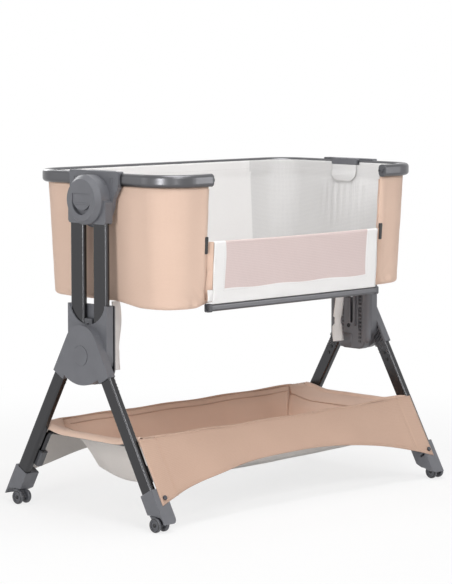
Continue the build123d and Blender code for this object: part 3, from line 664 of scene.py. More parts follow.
class RowTree:
    """Geometry Nodes tree that sets small pieces along a path: stitches, zip teeth or ribs."""

    def __init__(self) -> None:
        """Build the tree with named inputs for pitch, length, width, height and material."""
        tree = self.tree = bpy.data.node_groups.new("row_along_path", "GeometryNodeTree")
        face = tree.interface
        face.new_socket("Geometry", in_out="INPUT", socket_type="NodeSocketGeometry")
        kinds = dict.fromkeys(("Pitch", "Length", "Width", "Height"), "NodeSocketFloat")
        kinds["Finish"] = "NodeSocketMaterial"
        self.sockets = {label: face.new_socket(label, in_out="INPUT", socket_type=kind).identifier
                        for label, kind in kinds.items()}
        face.new_socket("Geometry", in_out="OUTPUT", socket_type="NodeSocketGeometry")
        source = add_node(tree, "NodeGroupInput").outputs
        spaced = add_node(tree, "GeometryNodeResampleCurve", {"mode": "LENGTH"},
                          {"Curve": source["Geometry"], "Length": source["Pitch"]})
        tangent = add_node(tree, "GeometryNodeInputTangent")
        normal = add_node(tree, "GeometryNodeInputNormal")
        turn = add_node(tree, "FunctionNodeAlignEulerToVector", {"axis": "X"},
                        {"Vector": tangent.outputs["Tangent"]})
        level = add_node(tree, "FunctionNodeAlignEulerToVector", {"axis": "Z", "pivot_axis": "X"},
                         {"Rotation": turn.outputs["Rotation"], "Vector": normal.outputs["Normal"]})
        size = add_node(tree, "ShaderNodeCombineXYZ",
                        inputs={"X": source["Length"], "Y": source["Width"], "Z": source["Height"]})
        bead = add_node(tree, "GeometryNodeMeshUVSphere", inputs={"Segments": 6, "Rings": 4, "Radius": 0.5})
        placed = add_node(tree, "GeometryNodeInstanceOnPoints",
                          inputs={"Points": spaced.outputs["Curve"], "Instance": bead.outputs["Mesh"],
                                  "Rotation": level.outputs["Rotation"], "Scale": size.outputs["Vector"]})
        real = add_node(tree, "GeometryNodeRealizeInstances",
                        inputs={"Geometry": placed.outputs["Instances"]})
        dressed = add_node(tree, "GeometryNodeSetMaterial",
                           inputs={"Geometry": real.outputs["Geometry"], "Material": source["Finish"]})
        add_node(tree, "NodeGroupOutput", inputs={"Geometry": dressed.outputs["Geometry"]})

    def row(self, name: str, paths: Sequence[Sequence[Point]], material: Material,
            pitch: float = STITCH_PITCH, size: Point = STITCH) -> Obj:
        """Set pieces along paths.

        Args:
            name: Name of the object.
            paths: Lines of points.
            material: Finish of the pieces.
            pitch: Distance between pieces in mm.
            size: Length along the path, width and height of one piece in mm.

        Returns:
            One plain mesh with all the pieces.
        """
        obj = curve_object(name, paths)
        modifier = obj.modifiers.new("row", "NODES")
        modifier.node_group = self.tree
        for label, value in zip(("Pitch", "Length", "Width", "Height"), (pitch, *size)):
            modifier[self.sockets[label]] = value * MM
        modifier[self.sockets["Finish"]] = material
        return smooth(bake(obj))


# Sub-assemblies


@dataclass
class BasinCloth:
    """The basin's outer cover, its lining, the lining's tabs and the zip tapes."""

    finishes: Finishes
    rows: RowTree
    half_length: float = 0.4305
    half_width: float = 0.2313
    corner: float = 0.076
    taper: float = 0.014
    top: float = 0.7822
    bottom: float = 0.508
    roll: float = 0.008
    opening: float = 0.302  # half the width of the drop
    hem: float = 0.016
    slack_y: tuple[float, float] = (-0.12, -0.02)  # between these the low corner's slack runs out
    slack_x: tuple[float, float] = (-0.335, -0.27)
    floor_insets: tuple[float, ...] = (0.014, 0.03, 0.055, 0.09, 0.13, 0.17, 0.205, 0.2165)
    lining_inset: float = 0.0045
    lining_top: float = 0.8075
    lining_low: float = 0.5247
    lining_seam: float = 0.297  # from the middle to each side of the rear panel
    lining_hem: tuple[float, ...] = (0.0, 3.5, 7.0, 10.5, 15.5, 20.5, 24.5)  # mm below the top, at each row
    lining_turn: tuple[float, ...] = (4.0, 7.5, 11.0)  # mm in over the floor board, at each row
    lining_stitch: float = 0.021  # below the top
    tuck_span: tuple[float, float] = (0.762, 0.7815)  # where the lining passes from the cover to the rail
    rail_in: Point = (0.4241, 0.2249, 0.0677)  # half length, half width and corner inside the rail
    gather_half: float = 0.12
    notch_half: float = 0.0475
    tab_half: float = 0.042
    tab_top: float = 0.8002
    tab_low: float = 0.758
    panel_y: float = -0.2277
    panel_lean: float = 0.051
    gusset_span: tuple[float, float] = (0.5135, 0.6535)  # in Z
    hook_x: tuple[float, float] = (-0.3035, -0.287)
    hook_z: tuple[float, float] = (0.5415, 0.5135)
    zip_span: tuple[float, float] = (0.5145, 0.776)  # in Z
    long_y: float = 0.1  # farther from the middle, a point is on a long wall
    end_x: float = 0.4  # farther from the middle, a point is on an end wall

    def depth(self, z: float) -> float:
        """Share of the way from the cover's top (0) down to its bottom (1)."""
        return (self.top - z) / (self.top - self.bottom)

    def outline(self, z: float, inset: float) -> Loop:
        """Outline of the basin at height z, drawn in by `inset`."""
        drawn = self.taper * self.depth(z) + inset
        sizes = (self.half_length, self.half_width, self.corner)
        return loop_outline(*(size - drawn for size in sizes), self.opening)

    def front_y(self, z: float) -> float:
        """Place of the cover's front at height z."""
        return self.taper * self.depth(z) - self.half_width

    def panel_front(self, z: float) -> float:
        """Place of the drop panel's outer half at height z."""
        return self.panel_y - self.panel_lean * (z - self.bottom)

    def puff(self, x: float, y: float, z: float) -> float:
        """How far the cover stands off its plain form: soft waves, the hem and creases beside the drop."""
        depth = self.depth(z)
        soft = 0.9 * MM * ripple(x, y, z, 0.13) + 0.45 * MM * ripple(x + 3, y, 2 * z, 0.05)
        soft *= ease(depth, 0.0, 0.2)
        if y > -self.long_y:
            return soft
        dx, dz = abs(x) - self.opening, z - self.bottom - 6 * MM
        reach = math.hypot(dx, dz)
        turn = math.atan2(max(dz, 0.0), dx + 6 * MM)
        fan = math.sin(13.0 * turn + 1.5 + 1.6 * ripple(x, z, 2.0, 0.03)) * ease(reach, 0.008, 0.03)
        fan *= 2.6 * MM * math.exp(-reach / 0.06) * (1 - ease(turn, 0.9, 1.35)) * (1.0 if x < 0 else 0.5)
        low = 2.2 * MM * ease(depth, 0.88, 1.0) * wave(x + 0.4 * z, 0.031, 1.1) * (1 - ease(dx, 0.03, 0.10))
        step = 1.1 * MM * (1 - ease(dx, self.hem - 2.5 * MM, self.hem + 2.5 * MM))
        return soft + fan + low + step

    def edge_turn(self, x: float, y: float) -> float:
        """How far the cover's free edges beside the drop panel turn in."""
        if y > -self.long_y:
            return 0.0
        return 4.5 * MM * (1 - ease(abs(x), self.opening, self.opening + 8 * MM))

    def hang(self, x: float, y: float) -> float:
        """How far the bottom edge hangs below its plain height: low at the front left, drawn up elsewhere."""
        slack = (1 - ease(y, *self.slack_y)) * (1 - ease(x, *self.slack_x))
        return (-4.5 + 12.0 * slack + 1.2 * ripple(x, y, 3.0, 0.06)) * MM

    def cover(self) -> Obj:
        """Build the cover: walls, rolled bottom edge and floor, in one sheet."""
        profile = [(z, 0.0) for z in spread(self.top, self.bottom + self.roll, WALL_STEPS)]
        walls = len(profile) - 1
        for angle in spread(0.0, math.pi / 2, 6)[1:]:
            rise, inset = 1 - math.sin(angle), 1 - math.cos(angle)
            profile.append((self.bottom + self.roll * rise, self.roll * inset))
        profile += [(self.bottom, inset) for inset in self.floor_insets]
        grid: list[Row] = []
        for z, inset in reversed(profile):
            row: Row = []
            for x, y, nx, ny in self.outline(z, inset):
                push = (self.puff(x, y, z) - self.edge_turn(x, y)) * (1 - ease(inset, 0.0, self.roll))
                drop = self.hang(x, y) * ease(self.depth(z), 0.55, 1.0) * (1 - ease(inset, 0.006, 0.03))
                row.append((x + nx * push, y + ny * push, z - drop))
            grid.append(row)
        count, under = len(grid[0]), len(grid) - 1 - walls
        sheet = cloth_grid("basin_cover_cloth", grid, [self.finishes.peach], closed=True,
                           keep=lambda i, j: i < under or not in_drop(j, count))
        return settle(thicken(sheet, 2.2), "basin", "basin_cover")

    def lining_row(self, z: float) -> Loop:
        """Outline of the lining at height z: inside the cover below, and inside the rail at the top."""
        low, high = self.outline(z, self.lining_inset), loop_outline(*self.rail_in, self.opening)
        share = ease(z, *self.tuck_span)
        return [tuple(a + share * (b - a) for a, b in zip(p, q)) for p, q in zip(low, high)]

    def lining(self) -> Obj:
        """Build the lining, gathered under the saddles, with a seam each side of the rear panel."""
        *hem, start = (self.lining_top - drop * MM for drop in self.lining_hem)
        grid: list[Row] = []
        for z in [*hem, *spread(start, self.lining_low, WALL_STEPS)]:
            row: Row = []
            depth = self.lining_top - z
            for x, y, nx, ny in self.lining_row(z):
                push = -(0.6 + 0.6 * ripple(x, y, z, 0.08)) * MM * ease(depth, 0.03, 0.08)
                if abs(x) > self.end_x and abs(y) < self.gather_half:
                    fall = ease(depth, 0.035, 0.06) * (1 - ease(depth, 0.08, 0.24))
                    folds = 1 + 0.7 * wave(y + 0.05 * z, 0.021) + 0.3 * wave(y, 0.012, 1.0)
                    push -= 4.0 * MM * fall * (1 - ease(abs(y), 0.03, self.gather_half)) * folds
                if y > self.long_y:
                    push -= 1.2 * MM * bell(abs(x) - self.lining_seam, 3 * MM)
                row.append((x + nx * push, y + ny * push, z))
            grid.append(row)
        for turn in (mm * MM for mm in self.lining_turn):
            grid.append([(x - nx * turn, y - ny * turn, self.lining_low + 0.4 * MM)
                         for x, y, nx, ny in self.lining_row(self.lining_low)])
        grid.reverse()
        count = len(grid[0])

        def there(i: int, j: int) -> bool:
            """The lining is open at the drop, and notched for the saddles."""
            x, y, z = grid[i + 1][j]
            notch = abs(x) > self.end_x and abs(y) < self.notch_half and z > self.tab_top + 0.6 * MM
            return not notch and not in_drop(j, count)

        def choose(i: int, j: int) -> int:
            """White cloth behind; spacer mesh round the ends, drawn greyer, partly its own tone and partly
            painted shade.
            """
            x, y, _ = grid[i + 1][j]
            return 0 if y > self.long_y and abs(x) < self.lining_seam else 1

        sheet = cloth_grid("basin_lining_cloth", grid, [self.finishes.white, self.finishes.inner_mesh],
                           closed=True, keep=there, pick=choose)
        return settle(thicken(sheet, 1.6), "basin", "basin_lining")

    def tabs(self) -> list[Obj]:
        """Build the round-ended flaps that hide the saddles' screws from inside."""
        pieces = []
        for side in Side:
            grid: list[Row] = []
            for t in spread(0.0, 1.0, 16):
                z = self.tab_top - t * (self.tab_top - self.tab_low)
                half = self.tab_half - 0.02 * (1 - math.sqrt(max(1 - ease(t, 0.5, 1.0) ** 2, 0.0)))
                off = 2.6 + 1.2 * math.sin(math.pi * t) + 3.2 * ease(t, 0.3, 0.7)
                x = side.value * (self.rail_in[0] - off * MM)
                grid.append([(x, y, z) for y in spread(-half, half, 24)])
            if side is Side.RIGHT:
                grid.reverse()
            # The tabs take the end mesh, whose grey is partly painted shade.
            piece = thicken(cloth_grid(f"lining_tab_{side.word}", grid, [self.finishes.inner_mesh]), 1.4)
            settle(piece, "basin")
            pieces.append(piece)
        return pieces

    def gussets(self) -> list[Obj]:
        """Build the soft strips between the cover's edges and the drop panel, and a hook tab."""
        pieces = []
        for side in Side:
            grid: list[Row] = []
            for z in spread(*self.gusset_span, 40):
                row: Row = []
                start, end = self.front_y(z) + 3.4 * MM, self.panel_front(z) + 2.0 * MM
                for s in spread(0.0, 1.0, 10):
                    dip = 4.6 + 1.8 * wave(z, 0.061, side.value) + 1.6 * ripple(s, z, side.value, 0.02)
                    back = start + s * (end - start) + dip * MM * math.sin(math.pi * s)
                    row.append((side.value * (self.opening + 4 * MM - 19.8 * MM * s), back, z))
                grid.append(row if side is Side.LEFT else row[::-1])
            piece = thicken(cloth_grid(f"drop_gusset_{side.word}", grid, [self.finishes.peach]), 1.0)
            settle(piece, "basin")
            pieces.append(piece)
        grid = []
        for i, z in enumerate(spread(*self.hook_z, 8)):
            front = self.panel_front(z) - 0.3 * MM
            grid.append([(x, front + 1.2 * MM * math.cos(0.4 * j + 0.5 * i), z)
                         for j, x in enumerate(spread(*self.hook_x, 6))])
        tab = thicken(cloth_grid("drop_hook_tab", grid[::-1], [self.finishes.white]), 1.2, 0.0)
        settle(tab, "basin")
        return [*pieces, tab]

    def beside_drop(self, x: float, y: float) -> bool:
        """Say whether a point lies in the drop or just beside it, where no hem is sewn."""
        return y < -self.long_y and abs(x) < self.opening + 12 * MM

    def trim(self) -> list[Obj]:
        """Build the zip tapes with their teeth and the rows of stitches."""
        tapes, teeth, seams = [], [], []
        for side in Side:
            edge = side.value * (self.opening + 0.5 * MM)
            seam = side.value * (self.opening + self.hem - 4 * MM)
            heights = spread(*self.zip_span, 44)
            grid: list[Row] = []
            for z in heights:
                y = self.front_y(z) + 3.9 * MM
                curl = 0.9 * MM * wave(z, 0.06, side.value)
                row = [(edge - side.value * (4 - 10 * s) * MM, y + curl * (1 - s), z)
                       for s in spread(0.0, 1.0, 4)]
                grid.append(row if side is Side.LEFT else row[::-1])
            tapes.append(thicken(cloth_grid(f"zip_tape_{side.word}", grid, [self.finishes.peach]), 1.0, 0.0))
            teeth.append([(edge - side.value * 4.5 * MM, row[2][1] - 0.5 * MM, row[2][2]) for row in grid])
            seams.append([(seam, self.front_y(z) - self.puff(seam, -2 * self.long_y, z) - 0.3 * MM, z)
                          for z in heights[6:]])
        thread = self.finishes.thread
        pieces = [join("zip_tapes", tapes),
                  self.rows.row("zip_teeth", teeth, thread, 2.4, (1.5, 2.6, 1.6)),
                  self.rows.row("front_edge_stitches", seams, thread, 5.5, (3.4, 0.9, 0.7))]
        z = self.top - self.hem
        path = []
        for x, y, nx, ny in self.outline(z, 0.0):
            if not self.beside_drop(x, y):
                lift = self.puff(x, y, z) + 0.4 * MM
                path.append((x + nx * lift, y + ny * lift, z))
        pieces.append(self.rows.row("cover_hem_stitches", [path], thread))
        for piece in pieces:
            settle(piece, "basin")
        z, bare = self.lining_top - self.lining_stitch, self.notch_half + 2.5 * MM
        path = [(x - nx * 2.0 * MM, y - ny * 2.0 * MM, z) for x, y, nx, ny in self.lining_row(z)
                if not self.beside_drop(x, y) and not (abs(x) > self.end_x and abs(y) < bare)]
        lining_stitch = self.rows.row("lining_hem_stitches", [path], self.finishes.white_thread)
        return [*pieces, settle(lining_stitch, "basin")]

    def build(self) -> list[Obj]:
        """Build all the basin's cloth.

        Returns:
            The pieces.
        """
        cover, lining = self.cover(), self.lining()
        pieces = [cover, lining, *self.tabs(), *self.trim(), *self.gussets()]
        return pieces


@dataclass
class DropPanel:
    """The mesh front that is folded in half over itself: a fixed inner half and a hanging outer half."""

    finishes: Finishes
    rows: RowTree
    half: float = 0.287
    fold: float = 0.6545
    bar_top: float = 0.5068
    floor: float = 0.5123
    low_y: float = -0.2277
    lean: float = 0.051
    inner_low_y: float = -0.2117
    inner_high_y: float = -0.2268
    window_half: float = 0.2495
    band_top: float = 0.540
    turn: float = 0.012  # below the fold, where the cloth starts to turn
    stitch_z: float = 0.59  # a height between the ends of the upright stitches

    def outer_y(self, z: float) -> float:
        """Place of the outer half's middle at height z."""
        return self.low_y - self.lean * (z - self.bar_top)

    def inner_y(self, z: float) -> float:
        """Place of the inner half's middle at height z."""
        share = (z - self.floor) / (self.fold - self.floor)
        return self.inner_low_y + share * (self.inner_high_y - self.inner_low_y)

    def columns(self) -> list[float]:
        """Places along X, with extra ones at the seams between window and border."""
        seams = (-self.window_half, self.window_half)
        extra = {s + d for s in seams for d in (-1.5 * MM, 0.0, 1.5 * MM)}
        return sorted(extra.union(spread(-self.half, self.half, 96)))

    def sheet(self, name: str, profile: Sequence[tuple[float, float]]) -> Obj:
        """Build one half of the panel.

        Args:
            name: Name of the object.
            profile: (y, z) points up the sheet.

        Returns:
            The thickened sheet.
        """
        xs = self.columns()
        side, low, high = self.window_half, self.band_top, self.fold + 1.0 * MM
        grid: list[Row] = []
        for y, z in profile:
            row: Row = []
            for x in xs:
                sway = 1.0 * MM * ripple(x, z, 4.0, 0.09) + 0.8 * MM * wave(x * 0.6 + z, 0.13)
                sway += 0.9 * MM * ripple(2 * x, z, 9.0, 0.035) * ease(abs(x), side - 4 * MM, side)
                sway *= ease(z, self.bar_top, self.bar_top + 0.02)
                sway *= 1 - ease(z, self.fold - self.turn, self.fold)
                sway += 0.7 * MM if abs(x) <= side and low <= z <= high else 0.0
                dip = 1.6 * MM * math.cos(math.pi * x / (2 * self.half))
                dip *= ease(z, self.fold - 0.03, self.fold)
                dip += 1.3 * MM * wave(x, 0.17, 0.6) * bell(z - low, 0.014)
                rise = min(max((z - low) / (self.fold - low), 0.0), 1.0)
                draw = 4.0 * MM * math.sin(math.pi * rise) * bell(abs(x) - side, 0.022)
                row.append((x - math.copysign(draw, x), y + sway, z - dip))
            grid.append(row)

        def choose(i: int, j: int) -> int:
            """Mesh in the window, white cloth round it."""
            x, z = (xs[j] + xs[j + 1]) / 2, (profile[i][1] + profile[i + 1][1]) / 2
            return 1 if abs(x) < side and low < z < high else 0

        half = cloth_grid(name, grid, [self.finishes.white, self.finishes.mesh], pick=choose)
        return thicken(half, 1.4, 0.0)

    def build(self) -> list[Obj]:
        """Build both halves and their stitches.

        Returns:
            The pieces.
        """
        start_y = self.outer_y(self.fold)
        radius = (self.inner_high_y - start_y) / 2
        arch = self.fold - radius
        extra = {self.band_top - 1.5 * MM, self.band_top, self.band_top + 1.5 * MM}
        heights = sorted(extra.union(spread(self.bar_top, arch, 48)))
        outer = [(self.outer_y(z), z) for z in heights]
        for angle in spread(0.0, math.pi, 8)[1:]:
            outer.append((start_y + radius * (1 - math.cos(angle)),
                          arch + radius * math.sin(angle) - 0.4 * MM))
        front = self.sheet("drop_panel_outer_cloth", outer)
        foot = ((5.4, 0.3), (2.0, 0.4), (0.5, 1.4))  # mm behind and above the inner half's low edge
        inner = [(self.inner_low_y + back * MM, self.floor + up * MM) for back, up in foot]
        inner += [(self.inner_y(z), z) for z in heights if z > self.floor + 4 * MM]
        back = self.sheet("drop_panel_inner_cloth", inner)
        edge, low = self.window_half + 3 * MM, self.band_top - 3 * MM
        lines = [[(x, self.outer_y(low) - 0.9 * MM, low) for x in (-edge, 0.0, edge)]]
        for sign in (-1, 1):
            for x, bottom in ((edge, low), (self.half - 4 * MM, self.bar_top + 5 * MM)):
                lines.append([(sign * x, self.outer_y(z) - 0.9 * MM, z)
                              for z in (bottom, self.stitch_z, self.fold - self.turn)])
        stitches = self.rows.row("drop_panel_stitches", lines, self.finishes.white_thread, 5, (3.2, 0.8, 0.8))
        for piece in (front, stitches):
            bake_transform(piece)
        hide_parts("drop_panel_outer")
        settle(back, "basin", "drop_panel_inner")
        return [front, back, stitches]


@dataclass
class MattressPad:
    """The foam mattress in its knitted cover, with a piped edge."""

    finishes: Finishes
    low: float = 0.5244
    half_length: float = 0.396
    half_width: float = 0.1968
    corner: float = 0.045
    split: float = 0.2
    voxel: float = 0.007

    def loop(self, rise: float, inset: float) -> Row:
        """Outline of the pad at a height above its underside, drawn in by `inset`."""
        outline = loop_outline(self.half_length - inset, max(self.half_width - inset, 1 * MM),
                               max(self.corner - inset, 2 * MM), self.split)
        return [(x, y, self.low + rise) for x, y, _, _ in outline]

    def blank(self) -> Obj:
        """Build the pad's starting shape, slightly smaller than the finished one."""
        layers = ((0.0, 0.2), (0.0, 0.1), (0.0, 0.03), (0.0, 0.006), (0.007, 0.0015), (0.015, 0.0),
                  (0.029, 0.0), (0.037, 0.0015), (0.044, 0.007), (0.0455, 0.02), (0.047, 0.06),
                  (0.0485, 0.12), (0.049, 0.2))  # rise and inset, from the middle of the underside to the top
        piece = cloth_grid("mattress_pad", [self.loop(*layer) for layer in layers], [self.finishes.white],
                           closed=True)
        close_holes(piece, turn_out=True)
        return piece

    def swell(self, piece: Obj, cap: float = 0.006, frames: int = 16) -> Obj:
        """Blow the pad up as cloth under pressure, and cap how far each point moves.

        Args:
            piece: The closed starting shape.
            cap: Furthest that a point may move.
            frames: Steps of the simulation.

        Returns:
            The swollen pad as a plain mesh.
        """
        remesh = piece.modifiers.new("even", "REMESH")
        remesh.mode = "VOXEL"
        remesh.voxel_size = self.voxel
        piece = bake(piece)
        start = [v.co.copy() for v in piece.data.vertices]
        cloth = piece.modifiers.new("cloth", "CLOTH")
        cloth.settings.use_pressure = True
        cloth.settings.uniform_pressure_force = 4.0
        cloth.settings.effector_weights.gravity = 0.0
        cloth.settings.quality = 4
        cloth.point_cache.frame_start = 1
        cloth.point_cache.frame_end = frames
        scene = bpy.context.scene
        for step in range(1, frames + 1):
            scene.frame_set(step)
        piece = bake(piece)
        scene.frame_set(1)
        for vertex, origin in zip(piece.data.vertices, start):
            move = vertex.co - origin
            if move.length > cap:
                move *= cap / move.length
            spot = origin + move
            spot.z = max(spot.z, self.low)
            vertex.co = spot
        soften = piece.modifiers.new("smooth", "SMOOTH")
        soften.factor = 0.5
        soften.iterations = 4
        return smooth(bake(piece))

    def build(self) -> list[Obj]:
        """Build the pad and its piping.

        Returns:
            The pieces.
        """
        pad = self.swell(self.blank())
        uv = pad.data.uv_layers.new(name="cloth")
        for loop in pad.data.loops:
            place = pad.data.vertices[loop.vertex_index].co
            uv.data[loop.index].uv = (place.x + 0.3 * place.z, place.y + 0.3 * place.z)
        if not pad.data.materials:
            pad.data.materials.append(self.finishes.white)
        pipes = [tube(f"mattress_pipe_{k}", self.loop(rise, -out), 2.2, self.finishes.white, closed=True)
                 for k, (rise, out) in enumerate(((0.005, 2.2 * MM), (0.0405, 0.6 * MM)))]
        settle(pad, "basin", "mattress")
        return [pad, settle(join("mattress_piping", pipes), "basin")]


@dataclass
class BasketCloth:
    """The hammock basket: tray, end bands over the hoops, arched skirts and their stitches."""

    finishes: Finishes
    rows: RowTree
    across: float = 0.0226  # from the middle line of the legs to the skirts
    hoop_x: float = 0.466
    hoop_r: float = 0.0078
    low: float = 0.090
    low_half_x: float = 0.3365
    low_half_y: float = 0.1205
    low_corner: float = 0.012
    low_insets: tuple[float, ...] = (0.119, 0.10, 0.08, 0.055, 0.035, 0.015)
    top_z: float = 0.204
    top_corner: float = 0.008
    split: float = 0.3
    steady: float = 0.040  # even flare of the walls, before they turn out to the rim
    long_rim: float = 0.2055
    end_rim: float = 0.1955
    tray_reach: float = 0.9  # the tray has the rim's height at this share of x
    skirt_reach: float = 0.84  # and the skirts at this one
    hem_x: float = 0.403
    hem_z: float = 0.172
    hem_rise: float = 0.0125
    corner_z: float = 0.206  # top of the bands at the skirts
    band_half: float = 0.1765
    hem_share: float = 0.1  # share of a band below the hem
    flap_share: float = 0.62  # share of a band up to the hoop
    wrap: float = 1.15  # half turns round the hoop
    skirt_half: float = 0.480
    skirt_low: float = 0.060
    arch_top: float = 0.127
    seam_x: float = 0.428
    stitch_shares: tuple[float, float] = (0.055, 0.955)  # from the lower edge up
    rim_half: float = 0.43
    inner_hem: tuple[float, float] = (0.385, 0.1642)  # half length, and distance from the middle
    end_hem_half: float = 0.168

    def plane_y(self, z: float, out: float = 0.0) -> float:
        """Distance from the middle of the skirt's plane at height z, `out` in front of it."""
        off = self.across + out
        along = z - off * math.sin(LEAN)
        return LEG_Y + (LEG_Z - along) * math.tan(LEAN) + off * math.cos(LEAN)

    def rim(self, x: float, y: float = 0.0) -> float:
        """Height of the basket's top edge: high at the legs, sagging between them."""
        sag = 3.5 * math.cos(math.pi * min(abs(x) / 0.47, 1) / 2) + 1.2 * wave(x, 0.21)
        long_z = self.long_rim - sag * MM
        end_z = self.end_rim + 9.5 * MM * ease(abs(y), 0.10, 0.175)
        return long_z + ease(abs(x), 0.40, self.hoop_x) * (end_z - long_z)

    def hem(self, y: float) -> float:
        """Height of the end wall's hem at y, where the band starts."""
        return self.hem_z + self.hem_rise * ease(abs(y), 0.09, 0.176)

    def slack(self, x: float, y: float) -> float:
        """How far the bottom hangs below its corners at (x, y)."""
        across = math.cos(math.pi * min(abs(y) / (2 * self.low_half_y), 0.5))
        return (23 + 9 * math.cos(math.pi * min(abs(x) / 0.7, 0.5))) * MM * across

    def tray(self) -> Obj:
        """Build the tray: a bottom that sags and walls that flare to the rim and to the end hems."""
        grid: list[Row] = []
        top_half_y = self.plane_y(self.top_z) - 1.5 * MM
        for inset in self.low_insets:
            outline = loop_outline(self.low_half_x - inset, self.low_half_y - inset, self.low_corner,
                                   self.split)
            grid.append([(x, y, self.low - self.slack(x, y) + 1.2 * MM * ripple(x, y, 0.5, 0.12))
                         for x, y, _, _ in outline])
        for share in spread(0.0, 1.0, 30):
            bow, flare = math.sin(math.pi * share), share ** 6
            half_x, half_y = (low + self.steady * share + (high - low - self.steady) * flare for low, high in
                              ((self.low_half_x, self.hem_x), (self.low_half_y, top_half_y)))
            row: Row = []
            for x, y, nx, ny in loop_outline(half_x, half_y, self.top_corner, self.split):
                high = self.rim(x * self.tray_reach, y)
                high += ease(abs(x), half_x - 3 * MM, half_x - 0.5 * MM) * (self.hem(y) - high)
                z = self.low + share * (high - self.low)
                sag = self.slack(x, y) * (1 - ease(share, 0, 0.5))
                push = 2.2 * ripple(x, y, z, 0.10) + 1.0 * ripple(x, 3 * y, z, 0.04)
                push += 1.6 * wave(x + 0.4 * z, 0.155) if abs(ny) > 0.5 else 0.0
                push *= MM * bow
                row.append((x + nx * push, y + ny * push, z - sag))
            grid.append(row)
        sheet = cloth_grid("basket_tray_cloth", grid, [self.finishes.peach, self.finishes.underside],
                           closed=True)
        close_holes(sheet, below=self.low + 0.02)
        return settle(thicken(sheet, 1.6, inner=1), "stand", "basket_tray")

    def band_point(self, t: float, s: float) -> Point:
        """A point of the right band.

        Args:
            t: Share of the way from the tray's inside over the hoop.
            s: Place across the band, from -1 to 1.

        Returns:
            The point.
        """
        y = s * (self.band_half - 1.5 * MM * ease(t, self.hem_share, self.flap_share))
        hem, round_r = self.hem(y), self.hoop_r + 1.2 * MM
        if t < self.hem_share:
            part = t / self.hem_share
            return self.hem_x + (part - 3) * MM, y, hem - 5 * MM * (1 - part)
        if t < self.flap_share:
            part = (t - self.hem_share) / (self.flap_share - self.hem_share)
            x = self.hem_x - 2 * MM + (self.hoop_x - self.hoop_r + 0.8 * MM - self.hem_x) * part
            z = hem + 16 * MM * part + 2 * MM * math.sin(math.pi * part)
            return x, y, z + (self.corner_z - z) * ease(abs(s), 0.95, 0.985)
        angle = math.pi * (1 - (t - self.flap_share) / (1 - self.flap_share) * self.wrap)
        return self.hoop_x + round_r * math.cos(angle), y, hem + 14 * MM + round_r * math.sin(angle)

    def bands(self) -> list[Obj]:
        """Build the end bands, which come up inside the tray, go over the hoops and hang down outside."""
        pieces = []
        for side in Side:
            grid: list[Row] = []
            for t in spread(0.0, 1.0, 28):
                points = [self.band_point(t, s) for s in spread(-1.0, 1.0, 34)]
                grid.append([(side.value * x, y, z + 0.8 * MM * ripple(y, t, side.value, 0.05))
                             for x, y, z in points])
            if side is Side.LEFT:
                grid.reverse()
            piece = thicken(cloth_grid(f"basket_band_{side.word}", grid, [self.finishes.peach]), 1.4, 0.0)
            settle(piece, "stand")
            pieces.append(piece)
        return pieces

    def arch(self, x: float) -> float:
        """Height of the skirt's lower edge at x."""
        return self.skirt_low + (self.arch_top - self.skirt_low) * (1 - (abs(x) / self.skirt_half) ** 2.2)

    def skirt_point(self, x: float, share: float, end: End, out: float = 0.0, up: float = 0.0) -> Point:
        """A point of a skirt.

        Args:
            x: Place along the skirt.
            share: Share of the way from its lower edge to its top.
            end: Which skirt.
            out: How far the point is moved off the cloth.
            up: How far it is moved up.

        Returns:
            The point.
        """
        low, high = self.arch(x), self.rim(x * self.skirt_reach) + 0.8 * MM
        z = low + share * (high - low)
        loose = math.sin(math.pi * min(share * 0.5 + 0.5, 1.0)) if share < 1 else 0.0
        flare = (1 - share) * 6.5 * MM * (1 - ease(abs(x), 0.25, 0.42))
        folds = loose * (2.0 * MM * wave(x + 0.5 * z, 0.24, 0.8) + 1.6 * MM * ripple(x, z, end.value, 0.09))
        tuck = 1.08 * MM * bell(abs(x) - self.seam_x, 4 * MM) * ease(share, 0.0, 0.1)
        off = 1.0 * MM + flare + folds * (1 - ease(abs(x), 0.40, 0.46)) - tuck
        return x, end.value * (self.plane_y(z, off) + out), z + up

    def skirts(self) -> list[Obj]:
        """Build the front and rear skirts with their stitches."""
        pieces = []
        seams = {s * (self.seam_x + d) for s in (-1, 1) for d in (-4 * MM, 0.0, 4 * MM)}
        xs = sorted(seams.union(spread(-self.skirt_half, self.skirt_half, 150)))
        inner = [x for x in xs if abs(x) < self.skirt_half - 3 * MM]
        for end in End:
            grid = [[self.skirt_point(x, share, end) for x in xs] for share in spread(0.0, 1.0, 26)]
            if end is End.REAR:
                grid.reverse()
            # The skirts take the darker peach, which is painted shade from the basin above.
            sheet = cloth_grid(f"basket_skirt_{end.word}_cloth", grid,
                               [self.finishes.basket, self.finishes.underside])
            piece = settle(thicken(sheet, 1.5, inner=1), "stand", f"basket_skirt_{end.word}")
            lines = [[self.skirt_point(x, share, end, 0.5 * MM, 0.2 * MM) for x in inner]
                     for share in self.stitch_shares]
            for sign in (-1, 1):
                lines.append([self.skirt_point(sign * (self.seam_x - 4.5 * MM), share, end, 0.5 * MM)
                              for share in spread(0.0, 1.0, 19)])
            stitches = self.rows.row(f"skirt_stitches_{end.word}", lines, self.finishes.thread,
                                     size=(3.6, 0.9, 0.8))
            pieces += [piece, settle(stitches, "stand")]
        return pieces

